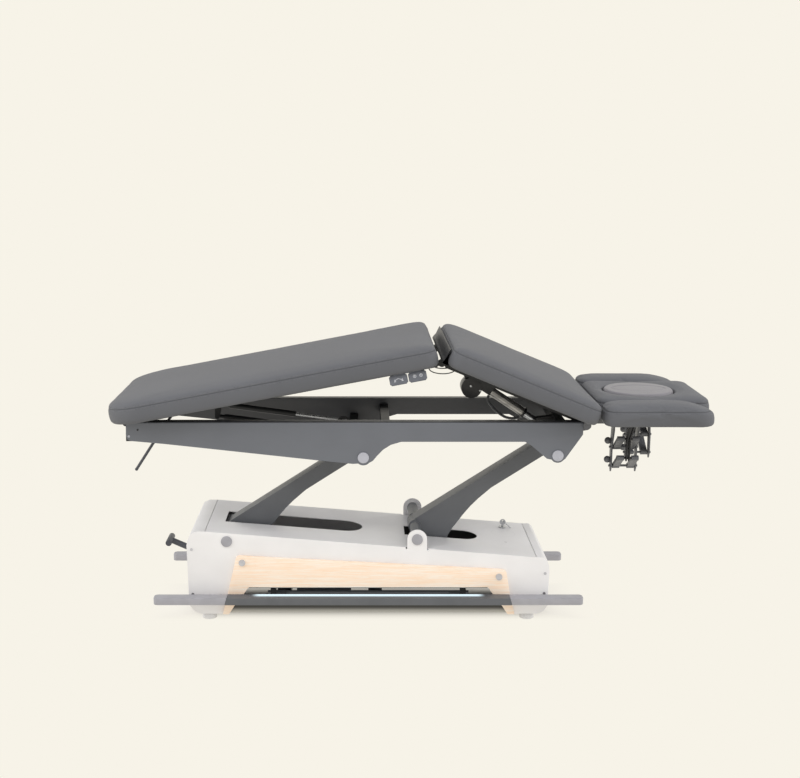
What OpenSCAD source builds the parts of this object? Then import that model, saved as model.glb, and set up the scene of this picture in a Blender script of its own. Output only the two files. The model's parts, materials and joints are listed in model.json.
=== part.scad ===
// Treatment table: a base with a lift, an upper frame, and a long, a middle and a head section.
// X runs along the table to the head end, Y across it, Z up from the floor.

/* [Base] */
// Half length of the base casing
base_half = 625; // [600:5:660]
// Width of the base casing over its side sheets
base_w = 404; // [390:1:420]
// Gap under the base casing
base_gap = 25; // [20:1:30]
// Height of the casing top at the foot-end seam
foot_top_z = 321; // [310:1:335]
// Height of the casing top at the head-end seam
head_top_z = 229; // [215:1:240]
// Distance of the foot-end seam from the casing's foot end
foot_seam_in = 65; // [55:1:80]
// Distance of the head-end seam from the casing's head end
head_seam_in = 46; // [40:1:60]
// Thickness of the folded casing sheet
sheet = 3; // [2:0.5:4]
// Thickness of the wooden side panels
panel_t = 12; // [8:1:14]
// Height of the toe space in the sides
toe_z = 125; // [119:1:130]
// Half length of the toe space at its top
toe_half = 413; // [400:1:425]
// Width of the foot-end slot in the casing top
foot_slot_w = 130; // [110:1:150]
// Width of the head-end slot in the casing top
head_slot_w = 107; // [100:1:125]
// Diameter of the rubber feet
foot_d = 50; // [40:1:60]
// Distance of the feet from the casing's ends
foot_in = 71; // [65:1:85]
// Distance of the feet from the middle, across the table
foot_y = 166; // [160:1:172]

/* [Foot bars] */
// Half length of the foot bars with their sleeves
bar_half = 736; // [700:1:760]
// Width of a foot bar
bar_w = 43; // [36:1:44]
// Height of a foot bar
bar_h = 24; // [18:1:28]
// Height of a foot bar's middle above the floor
bar_z = 89; // [85:1:92]
// Distance of a foot bar's middle from the table's middle
bar_y = 238.5; // [238:0.5:242]
// Half length of a foot bar between its sleeves
bar_mid_half = 490; // [480:1:500]

/* [Lift] */
// Distance of the foot arm's lower pivot from the casing's foot end
foot_pivot_in = 138; // [130:1:145]
// Height of the foot arm's lower pivot
foot_pivot_z = 286; // [282:1:290]
// Place of the head arm's lower pivot
head_pivot_x = 168; // [160:1:175]
// Height of the head arm's lower pivot
head_pivot_z = 293; // [289:1:297]
// Length of the lift arms between pivots
arm_len = 558.5; // [552:0.5:564]
// Angle of the lift arms above level, as drawn
arm_angle = 32.8; // [31:0.1:34]
// Width of the lift arms
arm_w = 75; // [65:1:80]
// Depth of the lift arms above their pivot line
arm_top = 22; // [20:1:24]
// Depth of the lift arms below their pivot line
arm_low = 28; // [26:1:30]
// Diameter of the pivot shafts
shaft_d = 25; // [20:1:28]
// Outside diameter of the lower hub tubes
hub_d = 39; // [35:1:42]
// Radius of the crank that the lift actuator turns
crank_r = 118; // [112:1:122]

/* [Upper frame] */
// Place of the rails' foot end
rail_foot_x = -814; // [-830:1:-805]
// Place of the rails' head end
rail_head_x = 720; // [714:1:722]
// Height of the rails' top
rail_top_z = 711; // [708:1:711]
// Distance of the rails' outer faces from the middle
rail_y = 230; // [226:1:234]
// Thickness of the rail sheet
rail_t = 4; // [3:0.5:5]
// Width of the rails' top flange
flange_w = 40; // [30:1:42]
// Height of the rails' underside between the lobes
rail_neck_z = 643; // [638:1:648]
// Radius of the rails' lobe at the foot arm
foot_lobe_r = 27; // [25:0.5:29]
// Radius of the rails' lobe at the head arm
head_lobe_r = 25; // [23:0.5:27]
// Side of the square cross members
cross_s = 30; // [24:1:30]

/* [Sections] */
// Place of the head-end hinge
hinge_x = 732; // [728:1:736]
// Height of the head-end hinge
hinge_z = 700; // [699:0.5:701]
// Diameter of the head-end hinge tube
hinge_d = 22; // [20:1:24]
// Distance from the head-end hinge to the peak hinge
mid_span = 525; // [520:1:530]
// Tilt of the middle section, as drawn
mid_tilt = 22.5; // [22:0.1:23]
// Tilt of the long section, as drawn
leg_tilt = 10.8; // [10.6:0.1:11]
// Length of the long cushion
leg_len = 1120; // [1110:1:1126]
// Length of the middle cushion
mid_len = 535; // [528:1:538]
// Width of the long and middle cushions
pad_w = 668; // [640:2:676]
// Thickness of the long and middle cushions with no board
pad_t = 64; // [58:1:68]
// Thickness of the boards under the cushions
board_t = 12; // [9:1:15]
// Side of the section frames' square tubes
tube_s = 25; // [20:1:25]
// Height of the boards above the hinge line
board_lift = 16; // [15:0.5:17]

/* [Head section] */
// Place of the head section's near end
head_x = 774; // [772:1:778]
// Length of the head cushion
head_len = 389; // [382:1:394]
// Width of the head cushion between the armrests
head_w = 366; // [350:1:368]
// Underside of the head and arm boards above the floor
head_board_z = 712; // [710:1:714]
// Thickness of the head boards
head_board_t = 10; // [8:1:12]
// Thickness of the head cushion with no board
head_pad_t = 61; // [56:1:64]
// Diameter of the face plug
plug_d = 243; // [220:1:246]
// Place of the face plug's middle
plug_x = 950; // [945:1:955]
// Width of an armrest
rest_w = 147; // [130:1:150]
// Length of an armrest
rest_len = 370; // [356:1:374]

/* [Hidden] */

// Overrun of every cut
over = 1;
// Radial clearance of a running shaft
run_fit = 0.05;
// Radial clearance of a pivot that closes a loop of links
open_fit = 0.4;
// Clearance between faces that slide
face_fit = 0.3;
// Radial clearance at an actuator's or a strut's far eye
eye_fit = 3.5;
// Length of the slots in which the leg struts' far pins glide
strut_slot = 12.6;
// Joint line between casing and end caps
seam_gap = 2;

// Base: casing
ear_r = 34;
ear_t = 5;
notch_w = 5;
foot_slot_in = 120;
foot_slot_x1 = -20;
head_slot_x0 = 130;
head_slot_x1 = 392;
toe_mid_step = 19.5;
toe_low_step = 51;
toe_foot_step = 69;
toe_mid_z = 96;
toe_low_z = 56;
panel_foot_z = 27;
cap_d = 38;
cap_h = 4.5;
cap_knee = 34;
cap_round = 49;
screw_d = 10;
screw_h = 1.6;
bolt_d = 22;
bolt_h = 5;
// Shares of the base's half length and of its height at the foot end
panel_left_shares = [[-0.805, 0.084], [-0.778, 0.296], [-0.730, 0.698], [-0.726, 0.725], [-0.712, 0.739]];
panel_right_shares = [[0.738, 0.586], [0.753, 0.576], [0.761, 0.551], [0.784, 0.296], [0.81, 0.084]];
bolt_shares = [[-0.694, 0.664], [0.72, 0.508]];
screw_shares = [[-0.973, 0.801], [-0.971, 0.299], [0.976, 0.533], [0.974, 0.308]];

// Base: chassis and what stands on it
beam_z1 = 60;
beam_y0 = 150;
beam_y1 = 190;
beam_end_in = 53;
beam_w = 48;
upright_y = 172;
upright_t = 10;
bar_pivot_y = 165;
bar_tube_d = 16;
bar_arm_x = 300;
bar_arm_w = 30;
bar_arm_t = 12;
bearing_x = 330;
bearing_w = 20;
sleeve_slant = 7;
sleeve_top_step = 5;
box_x0 = -250;
box_x1 = -60;
box_half = 140;
box_h = 80;
lift_z = 184;
lift_x0 = -300;
lift_gear_x1 = -230;
lift_x1 = 50;
lift_tube_d = 44;
lift_rod_d = 24;
lift_rod_x0 = -20;
lift_bore_x0 = -130;
lift_gear_s = 54;
yoke_w = 34;
yoke_h = 66;
yoke_t = 20;
crank_pin_d = 12;
crank_angle = -95;
crank_t = 6;
crank_gap = 13;
crank_web = 28;
yoke_slot_fit = 2.5;
strip_t = 12;
strip_low = 8;
strip_h = 10;

// Base: castor lift
pedal_out = 86;
pedal_z = 229.5;
pedal_slope = 24;
pedal_shaft_d = 21;
pedal_shaft_len = 168;
pedal_bar_d = 22;
pedal_bar_half = 45;
pedal_cam_d = 44;
pedal_cam_t = 12;
castor_in = 155;
castor_d = 50;
castor_w = 24;
castor_lift = 8;
castor_y = 120;
castor_axle_d = 10;
fork_t = 4;
fork_gap = 3;
fork_w = 16;
carriage_h = 10;
carriage_gap = 1.5;

// Base: lock and keys
key_in = 128;
key_y = 127;
lock_d = 26;
lock_h = 4;
lock_body_d = 20;
lock_body_h = 26;
key_bow_d = 22;
key_bow_z = 17;
key_stem_w = 9;
key_t = 2.4;
key_hole_d = 6;
ring_r = 10;
ring_t = 2;
ring_dip = 38;
key_blade = 20;

// Lift arms
// Shares of the arm's length and of its depth below the pivot line
arm_low_shares = [[0.537, -1], [0.433, -1.31], [0.3665, -1.6], [0.2955, -2.04], [0.2453, -2.43],
    [0.1934, -2.79], [0.143, -3.29], [0.122, -3.68], [0.093, -3.93], [0.05, -3.71],
    [-0.0143, -2.21], [-0.048, -0.54], [-0.04, 0.4], [-0.018, 0.79]];
arm_in_shares = [[0.537, -0.86], [0.433, -1.16], [0.3665, -1.45], [0.2955, -1.86], [0.2453, -2.25],
    [0.195, -2.61], [0.152, -3.1], [0.134, -3.5], [0.12, -4.3], [0.038, -4.3],
    [-0.004, -2.1], [-0.036, -0.5], [-0.03, 0.35], [-0.014, 0.62]];
arm_wall = 4;
collar_t = 10;
collar_d = 48;
upper_hub_r = 26;
upper_hub_half = 47.5;
foot_hub_half = 170;

// Upper frame
// Shares of the rail's length and of its depth at the foot arm's pivot
rail_foot_shares = [[0, 0.678], [0.0023, 0.604], [0.0098, 0.564], [0.0821, 0.497], [0.161, 0.409]];
rail_edge_r = 6;
rail_head_step = 43;
cap_upper_d = 38;
rail_end_in = 14;
brace_foot_step = 32.5;
brace_head_step = 77.5;
rail_front_in = 52;
cross_z = [659.6, 632, 668, 672];
glide_d = 16;
glide_len = 30;
eye_z = 662;
eye_x = 600;
eye_pin_d = 12;
bracket_gap = 16;
bracket_t = 6;
strut_eye_step = 30;
strut_eye_z = 646;
strut_y = 100;
strut_pin_d = 8;
strut_ear_gap = 8;
strut_ear_t = 4;
ear_reach = 14;
hinge_plate_y = 218;
hinge_cap_d = 27;
hinge_cap_y = 237;
lever_x = -712;
lever_z = 660;
lever_y = -100;
lever_d = 10;
lever_len = 172;
lever_slope = 123;

// Sections
tube_y = 165;
tube_drop = 9;
mid_gap = 4;
heel_back = 17;
heel_up = 8;
leg_gap = 12;
leg_corner = 130;
tube_foot_in = 66;
end_bar_in = 31;
board_inset = 24;
pad_corner = 42;
pad_crown = 5;
lug_r = 15.5;
lug_t = 12;
knuckle_r = 12;
knuckle_t = 12;
peak_pin_d = 12;
tube_end = 16;
clevis_x = -408;
clevis_z = -26;
clevis_gap = 13;
clevis_t = 5;
clevis_pin_d = 10;
motor_r = 36;
motor_half = 32;
motor_x = 37;
motor_z = -26;
gear_x1 = 104;
gear_low = -14;
gear_top = 33;
gear_half = 28;
tilt_tube_d = 32;
tilt_tube_x1 = 248;
tilt_ring_d = 38;
tilt_ring_t = 8;
tilt_rod_d = 22;
tilt_rod_x0 = 150;
tilt_bore_x0 = 110;
tilt_eye_d = 24;
end_bar_d = 20;
end_bar_out = 20;
strut_lug_x = -790;
strut_lug_z = -49;
strut_cyl_d = 22;
strut_cyl_len = 262;
strut_rod_d = 10;
strut_rod_x0 = 150;
strut_eye_d = 12;
strut_neck_x = 24;
strut_neck_d = 14;
keypad_w = 60;
keypad_h = 34;
keypad_t = 10;
keypad_x = [-153, -90];
keypad_in = 25;
keypad_z = -3;
keypad_tilt = 20;
flap_x = -10;
flap_t = 3;
flap_in = 34;

// Head section
head_tube_y = 130;
head_tube_x1 = 1120;
face_hole_d = 180;
plug_fit = 2;
rest_gap = 3;
link_group_x = [840, 932];
link_len = 82.7;
link_angle = 32;
link_pin_y = 100;
link_pin_z = 596;
link_pin_step = 67;
link_pin_d = 8;
link_eye_r = 9;
link_t = 12;
link_w = 24;
hanger_t = 5;
group_len = 90;
link_in = 8;
carrier_in = 38;
buffer_d = 24;

// Padding: each entry is how far the side is drawn in and how high it stands, as shares of the padding
pad_side_shares = [[0.16, 0], [0.06, 0.09], [0.012, 0.25], [0, 0.45], [0.02, 0.63], [0.06, 0.72],
    [0.1, 0.755], [0.09, 0.79], [0.16, 0.88], [0.3, 0.95], [0.5, 0.985]];
pad_crown_shares = [[0.9, 0.3], [0.72, 0.62], [0.5, 0.84], [0.25, 0.96]];

// Worked-out places
foot_seam_x = foot_seam_in - base_half;
head_seam_x = base_half - head_seam_in;
foot_x = base_half - foot_in;
foot_pivot_x = foot_pivot_in - base_half;
foot_slot_x0 = foot_slot_in - base_half;
beam_end_x = base_half - beam_end_in;
pedal_x = -base_half - pedal_out;
castor_x = base_half - castor_in;
key_x = base_half - key_in;
keypad_y = keypad_in - pad_w / 2;
flap_half = pad_w / 2 - flap_in;
peak_x = hinge_x - mid_span * cos(mid_tilt);
peak_z = hinge_z + mid_span * sin(mid_tilt);
arm_dx = arm_len * cos(arm_angle);
arm_dz = arm_len * sin(arm_angle);
foot_top_x = foot_pivot_x + arm_dx;
foot_top_pz = foot_pivot_z + arm_dz;
head_top_x = head_pivot_x + arm_dx;
cross_x = [rail_foot_x + rail_end_in, foot_top_x - brace_foot_step, foot_top_x + brace_head_step,
    rail_head_x - rail_front_in];
strut_eye_x = cross_x[1] - strut_eye_step;
head_top_pz = head_pivot_z + arm_dz;
side_in = base_w / 2 - sheet;
rail_in = rail_y - rail_t;
pad_top = board_lift + board_t + pad_t;
clevis_wx = hinge_x + clevis_x * cos(mid_tilt) + clevis_z * sin(mid_tilt);
clevis_wz = hinge_z - clevis_x * sin(mid_tilt) + clevis_z * cos(mid_tilt);
tilt_run = norm([eye_x - clevis_wx, eye_z - clevis_wz]);
tilt_axis = atan2(eye_z - clevis_wz, eye_x - clevis_wx);
strut_lx = peak_x + strut_lug_x * cos(leg_tilt) - strut_lug_z * sin(leg_tilt);
strut_lz = peak_z + strut_lug_x * sin(leg_tilt) + strut_lug_z * cos(leg_tilt);
strut_run = norm([strut_eye_x - strut_lx, strut_eye_z - strut_lz]);
strut_axis = atan2(strut_eye_z - strut_lz, strut_eye_x - strut_lx);
crank_x = head_pivot_x + crank_r * cos(crank_angle);

// Middle of the whole table along X: the long cushion's bulge at one end, the head cushion at the other
pad_h = pad_t - pad_crown;
cover_h = pad_h + board_t;
leg_tube_x = tube_foot_in - leg_len;
end_bar_x = end_bar_in - leg_len;
leg_end_x = min([for (s = pad_side_shares) peak_x - (leg_gap + leg_len - s.x * cover_h) * cos(leg_tilt)
    - (board_lift + s.y * cover_h) * sin(leg_tilt)]);
frame_mid_x = (leg_end_x + head_x + head_len) / 2;

// Colours
col_white = "#e6e4e5";
col_frame = "#6c6f76";
col_arm = "#5e6064";
col_pad = "#6f6f71";
col_black = "#1c1c1e";
col_wood = "#f3d9bd";
col_pale = "#a9a9b1";
col_steel = "#b9bbbe";

// Height of the casing top at a place along the base
function top_z(x) = foot_top_z + (head_top_z - foot_top_z) * (x - foot_seam_x)
    / (head_seam_x - foot_seam_x);
top_slope = atan2(foot_top_z - head_top_z, head_seam_x - foot_seam_x);

// Puts the middle of the whole table's length over the origin
module centred() translate([-frame_mid_x, 0, 0]) children();

// A plate drawn in X and Z, from y0 to y1
module slab(y0, y1) translate([0, y1, 0]) rotate([90, 0, 0]) linear_extrude(height = y1 - y0) children();

// A plate drawn in Y and Z, from x0 to x1
module fin(x0, x1) translate([x0, 0, 0]) rotate([90, 0, 90]) linear_extrude(height = x1 - x0) children();

module block(x0, x1, y0, y1, z0, z1) translate([x0, y0, z0]) cube([x1 - x0, y1 - y0, z1 - z0]);

// A round bar across the table
module bar_across(d, y0, y1, x, z) translate([x, y0, z]) rotate([-90, 0, 0])
    cylinder(d = d, h = y1 - y0, $fn = 48);

// A round bar along X
module bar_along(d, x0, x1, y, z) translate([x0, y, z]) rotate([0, 90, 0])
    cylinder(d = d, h = x1 - x0, $fn = 48);

// The same piece on both sides of the table
module both_sides() {
    children();
    mirror([0, 1, 0]) children();
}

// Frames of the tilted sections and the moving links
module on_mid() translate([hinge_x, 0, hinge_z]) rotate([0, mid_tilt, 0]) children();
module on_leg() translate([peak_x, 0, peak_z]) rotate([0, -leg_tilt, 0]) children();
module on_actuator() translate([clevis_wx, 0, clevis_wz]) rotate([0, -tilt_axis, 0]) children();
module on_strut(y) translate([strut_lx, y, strut_lz]) rotate([0, -strut_axis, 0]) children();
module on_arm(x, z) translate([x, 0, z]) rotate([0, -arm_angle, 0]) children();
module on_top(x, y) translate([x, y, top_z(x)]) rotate([0, top_slope, 0]) children();
module on_pedal() translate([pedal_x, 0, pedal_z]) rotate([0, pedal_slope, 0]) children();

// Base casing: folded sheet with two slots, a toe space and ears for the head arm's shaft
function toe_points(low) = [[-toe_half - toe_foot_step, low], [-toe_half - toe_low_step, toe_low_z],
    [-toe_half - toe_mid_step, toe_mid_z], [-toe_half, toe_z], [toe_half, toe_z],
    [toe_half + toe_mid_step, toe_mid_z], [toe_half + toe_low_step, toe_low_z],
        [toe_half + toe_foot_step, low]];

module ear() slab(side_in + sheet - ear_t, side_in + sheet) {
    translate([head_pivot_x, head_pivot_z]) circle(r = ear_r, $fn = 64);
    polygon([[head_pivot_x - ear_r, head_pivot_z], [head_pivot_x + ear_r, head_pivot_z],
        [head_pivot_x + ear_r, top_z(head_pivot_x + ear_r) - sheet],
        [head_pivot_x - ear_r, top_z(head_pivot_x - ear_r) - sheet]]);
}

// Ends of the base: the outline that the side sheets and the end caps share
function end_points(side, seam, top, end_x, knee, low) = [[seam, base_gap], [seam, top],
    [end_x - side * knee, top], [end_x - side * knee * 0.42, top - cap_round * 0.2],
    [end_x - side * knee * 0.12, top - cap_round * 0.6], [end_x, top - cap_round],
    [end_x - side * low * 0.1, base_gap + low * 0.7], [end_x - side * low * 0.4, base_gap + low * 0.25],
    [end_x - side * low * 0.72, base_gap + low * 0.06], [end_x - side * low, base_gap]];
function head_knee() = cap_knee * 0.6;
function head_low() = cap_round * 0.85;
function side_points() = let (a = end_points(-1, foot_seam_x, foot_top_z, -base_half, cap_knee, cap_round),
    b = end_points(1, head_seam_x, head_top_z, base_half, head_knee(), head_low()))
    concat([for (i = [len(a) - 1 : -1 : 1]) a[i]], [for (i = [1 : len(b) - 1]) b[i]]);

module base_casing() centred() color(col_white) {
    difference() {
        slab(-base_w / 2, base_w / 2) polygon(side_points());
        slab(-side_in, side_in) polygon([[-base_half - over, base_gap - over],
            [-base_half - over, foot_top_z + over],
            [foot_seam_x, foot_top_z + over], [foot_seam_x, foot_top_z - sheet],
                [head_seam_x, head_top_z - sheet],
            [head_seam_x, foot_top_z], [base_half + over, foot_top_z],
                [base_half + over, base_gap - over]]);
        slab(-base_w / 2 - over, base_w / 2 + over) polygon(toe_points(base_gap - over));
        block(foot_slot_x0, foot_slot_x1 - foot_slot_w / 2, -foot_slot_w / 2, foot_slot_w / 2, head_top_z,
            foot_top_z);
        translate([foot_slot_x1 - foot_slot_w / 2, 0, head_top_z])
            cylinder(d = foot_slot_w, h = foot_top_z - head_top_z, $fn = 96);
        block(head_slot_x0, head_slot_x1 - head_slot_w / 2, -head_slot_w / 2, head_slot_w / 2, head_top_z,
            foot_top_z);
        translate([head_slot_x1 - head_slot_w / 2, 0, head_top_z])
            cylinder(d = head_slot_w, h = foot_top_z - head_top_z, $fn = 96);
        both_sides() for (side = [-1, 1]) let (x = head_pivot_x + side * (ear_r + notch_w / 2))
            block(x - notch_w / 2, x + notch_w / 2, side_in - ear_t, side_in + sheet + over,
                top_z(x) - 2 * sheet, foot_top_z);
    }
    both_sides() ear();
}

// End caps: bent strips between the side sheets, beyond the seams
module end_cap(side, seam, top, knee, low) let (end_x = side * base_half, x0 = seam + side * seam_gap,
    k = 1 - sheet / abs(end_x - x0), kz = 1 - sheet / (top - base_gap)) difference() {
    slab(-side_in, side_in) polygon(end_points(side, x0, top, end_x, knee, low));
    slab(-side_in - over, side_in + over) polygon([for (q = end_points(side, x0, top, end_x, knee, low))
        [x0 + (q.x - x0) * k - (q.x == x0 ? side * over : 0),
            q.y <= base_gap ? base_gap - over : base_gap + (q.y - base_gap) * kz]]);
    on_pedal() bar_along(pedal_shaft_d + 2 * open_fit, 0, pedal_shaft_len, 0, 0);
}

module end_caps() centred() color(col_white) {
    end_cap(-1, foot_seam_x, foot_top_z, cap_knee, cap_round);
    end_cap(1, head_seam_x, head_top_z, head_knee(), head_low());
}

// Chassis: beams, pivot uprights, actuator posts, control box tray and foot bar bearings
module upright(x, pivot) difference() {
    slab(upright_y, upright_y + upright_t) polygon([[x - beam_w, beam_z1], [x + beam_w, beam_z1],
        [x + shaft_d * 0.8, pivot + shaft_d * 0.8], [x - shaft_d * 0.8, pivot + shaft_d * 0.8]]);
    bar_across(shaft_d + 2 * run_fit, upright_y - over, upright_y + upright_t + over, x, pivot);
}

module chassis() centred() color(col_black) {
    both_sides() {
        block(-beam_end_x, beam_end_x, beam_y0, beam_y1, base_gap, beam_z1);
        upright(foot_pivot_x, foot_pivot_z);
        for (x = [-bearing_x, bearing_x]) difference() {
            block(x - bearing_w / 2, x + bearing_w / 2, bar_pivot_y - bearing_w / 2, bar_pivot_y
                + bearing_w / 2,
                beam_z1, bar_z + bar_tube_d);
            bar_along(bar_tube_d + 2 * run_fit, x - bearing_w, x + bearing_w, bar_pivot_y, bar_z);
        }
    }
    for (x = [-beam_end_x, beam_end_x - beam_w]) block(x, x + beam_w, -beam_y0, beam_y0, base_gap, beam_z1);
    for (x = [lift_x0 - beam_w / 2, lift_x1 - beam_w]) block(x, x + beam_w, -beam_y0, beam_y0, base_gap,
        beam_z1);
    block(box_x0, box_x1, -beam_y0, beam_y0, beam_z1 - sheet, beam_z1);
    block(lift_x0, lift_x0 + beam_w / 2, -lift_gear_s / 2, lift_gear_s / 2, beam_z1, lift_z
        - lift_gear_s / 2);
    block(lift_x1 - beam_w, lift_x1 - beam_w / 2, -lift_gear_s / 4, lift_gear_s / 4, beam_z1, lift_z
        - lift_tube_d / 2);
}

module lower_axles() centred() color(col_steel) {
    bar_across(shaft_d, -side_in, side_in, foot_pivot_x, foot_pivot_z);
    bar_across(shaft_d, ear_t - base_w / 2, base_w / 2 - ear_t, head_pivot_x, head_pivot_z);
}

module lower_pivot_caps() centred() color(col_pale) both_sides() {
    bar_across(cap_d, base_w / 2, base_w / 2 + cap_h, foot_pivot_x, foot_pivot_z);
    bar_across(cap_d, base_w / 2, base_w / 2 + cap_h, head_pivot_x, head_pivot_z);
}

module rubber_feet() centred() color(col_pale) both_sides() for (x = [-foot_x, foot_x])
    translate([x, foot_y, 0]) cylinder(d = foot_d, h = base_gap, $fn = 64);

module wood_panel(y) centred() color(col_wood) slab(y, y + panel_t) polygon(concat(
    [for (q = panel_left_shares) [q.x * base_half, q.y * foot_top_z]],
    [for (q = panel_right_shares) [q.x * base_half, q.y * foot_top_z]],
    [for (i = [7 : -1 : 0]) toe_points(panel_foot_z)[i]]));
module wood_panel_near() wood_panel(-base_w / 2 - panel_t);
module wood_panel_far() wood_panel(base_w / 2);

module side_screws() centred() color(col_pale) both_sides() {
    for (q = bolt_shares) bar_across(bolt_d, base_w / 2 + panel_t, base_w / 2 + panel_t + bolt_h,
        q.x * base_half, q.y * foot_top_z);
    for (q = screw_shares) bar_across(screw_d, base_w / 2, base_w / 2 + screw_h,
        q.x * base_half, q.y * foot_top_z);
}

module light_strips() centred() color("#f4fbff") both_sides()
    block(-toe_half, toe_half, side_in - strip_t, side_in, toe_z - strip_low, toe_z - strip_low + strip_h);

module control_box() centred() color(col_black)
    block(box_x0, box_x1, -box_half, box_half, beam_z1, beam_z1 + box_h);

// Lift actuator: gear case and tube, held by two posts
module lift_actuator() centred() color("#3b3c40") difference() {
    union() {
        block(lift_x0, lift_gear_x1, -lift_gear_s / 2, lift_gear_s / 2, lift_z - lift_gear_s / 2, lift_z
            + lift_gear_s / 2);
        bar_along(lift_tube_d, lift_gear_x1, lift_x1, 0, lift_z);
    }
    bar_along(lift_rod_d + 2 * run_fit, lift_bore_x0, lift_x1 + over, 0, lift_z);
}

// Lift rod: its slotted yoke takes the crank's pin, whose height changes a little
module lift_rod() centred() color(col_steel) difference() {
    union() {
        bar_along(lift_rod_d, lift_rod_x0, crank_x - yoke_w / 4, 0, lift_z);
        block(crank_x - yoke_w / 2, crank_x + yoke_w / 2, -yoke_t / 2, yoke_t / 2, lift_z - yoke_h / 2,
            lift_z + yoke_h / 2);
    }
    block(crank_x - crank_pin_d / 2 - yoke_slot_fit, crank_x + crank_pin_d / 2 + yoke_slot_fit,
        -yoke_t, yoke_t, lift_z - yoke_h / 2 + crank_pin_d, lift_z + yoke_h / 2 - crank_pin_d);
}

// Foot bars: bar, two arms and a pivot tube under the side
module foot_bar(side) centred() color("#636569") mirror([0, side < 0 ? 1 : 0, 0]) {
    slab(bar_y - bar_w / 2, bar_y + bar_w / 2) polygon(sleeve_line(bar_mid_half, bar_mid_half));
    for (x = [-bar_arm_x, bar_arm_x]) difference() {
        block(x - bar_arm_w / 2, x + bar_arm_w / 2, bar_pivot_y, bar_y - bar_w / 2,
            bar_z - bar_arm_t / 2, bar_z + bar_arm_t / 2);
        bar_along(bar_tube_d, x - bar_arm_w, x + bar_arm_w, bar_pivot_y, bar_z);
    }
    bar_along(bar_tube_d, -bearing_x - bearing_w, bearing_x + bearing_w, bar_pivot_y, bar_z);
}
function sleeve_line(left, right) = [[-left + sleeve_top_step, bar_z + bar_h / 2],
    [right - sleeve_top_step, bar_z + bar_h / 2],
    [right - sleeve_top_step + sleeve_slant, bar_z - bar_h / 2],
        [-left + sleeve_top_step - sleeve_slant, bar_z - bar_h / 2]];

module sleeve() intersection() {
    slab(bar_y - bar_w / 2, bar_y + bar_w / 2) polygon([[bar_mid_half - sleeve_top_step, bar_z + bar_h / 2],
        [bar_half, bar_z + bar_h / 2], [bar_half, bar_z - bar_h / 2],
        [bar_mid_half - sleeve_top_step + sleeve_slant, bar_z - bar_h / 2]]);
    translate([0, bar_y, bar_z - bar_h / 2]) linear_extrude(height = bar_h) {
        square([2 * (bar_half - bar_w / 3), bar_w], center = true);
        square([2 * bar_half, bar_w / 3], center = true);
        for (s = [-1, 1]) translate([bar_half - bar_w / 3, s * bar_w / 6]) circle(r = bar_w / 3, $fn = 48);
    }
}
module bar_sleeves(side) centred() color(col_pale) mirror([0, side < 0 ? 1 : 0, 0]) {
    sleeve();
    mirror([1, 0, 0]) sleeve();
}
module foot_bar_near() foot_bar(-1);
module foot_bar_far() foot_bar(1);
module bar_sleeves_near() bar_sleeves(-1);
module bar_sleeves_far() bar_sleeves(1);

// Castor lift: a tread pedal turns a cam shaft, and two carriages press their wheels down
module castor_pedal() centred() color("#3a3d42") on_pedal() {
    bar_along(pedal_shaft_d, 0, pedal_shaft_len - pedal_cam_t, 0, 0);
    bar_along(pedal_cam_d, pedal_shaft_len - pedal_cam_t, pedal_shaft_len, 0, 0);
    bar_across(pedal_bar_d, -pedal_bar_half, pedal_bar_half, 0, 0);
}
castor_z = castor_lift + castor_d / 2;
carriage_z = castor_lift + castor_d + carriage_gap;
module castor_carriage(x) centred() color(col_steel) {
    block(x - carriage_h, x + carriage_h, face_fit - beam_y0, beam_y0 - face_fit, carriage_z, carriage_z
        + carriage_h);
    both_sides() for (s = [-1, 1]) let (y = castor_y + s * (castor_w / 2 + fork_gap + fork_t / 2))
        block(x - fork_w / 2, x + fork_w / 2, y - fork_t / 2, y + fork_t / 2, castor_z - castor_axle_d,
            carriage_z);
    bar_across(castor_axle_d, -castor_y - castor_w / 2 - fork_gap - fork_t, castor_y + castor_w / 2
        + fork_gap + fork_t, x, castor_z);
}
module castor_wheels(x) centred() color("#8d8f93") both_sides() difference() {
    bar_across(castor_d, castor_y - castor_w / 2, castor_y + castor_w / 2, x, castor_z);
    bar_across(castor_axle_d + 2 * run_fit, castor_y - castor_w, castor_y + castor_w, x, castor_z);
}
module castor_carriage_foot() castor_carriage(-castor_x);
module castor_carriage_head() castor_carriage(castor_x);
module castor_wheels_foot() castor_wheels(-castor_x);
module castor_wheels_head() castor_wheels(castor_x);

// Key switch on the casing top, its key and a second key on a ring
module key_switch() centred() color(col_steel) on_top(key_x, key_y) {
    cylinder(d = lock_d, h = lock_h, $fn = 48);
    translate([0, 0, -sheet / cos(top_slope) - lock_body_h])
        cylinder(d = lock_body_d, h = lock_body_h, $fn = 48);
}
module key_plate(hole) difference() {
    slab(-key_t / 2, key_t / 2) union() {
        translate([0, key_bow_z]) circle(d = key_bow_d, $fn = 40);
        translate([-key_stem_w / 2, 0]) square([key_stem_w, key_bow_z]);
    }
    bar_across(hole, -key_t, key_t, 0, key_bow_z + key_bow_d / 5);
}
module key() centred() color(col_steel) on_top(key_x, key_y) translate([0, 0, lock_h + face_fit])
    key_plate(key_hole_d);
ring_z = lock_h + face_fit + key_bow_z + key_bow_d / 5;
module spare_key() centred() color(col_steel) on_top(key_x, key_y) translate([0, 0, ring_z])
    rotate([0, ring_dip, 0])
    translate([ring_r, 0, 0]) {
        rotate_extrude($fn = 48) translate([ring_r, 0]) circle(d = ring_t, $fn = 16);
        translate([ring_r - ring_t / 2, -key_stem_w / 2, -key_t / 2]) cube([key_blade, key_stem_w, key_t]);
    }

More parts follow.
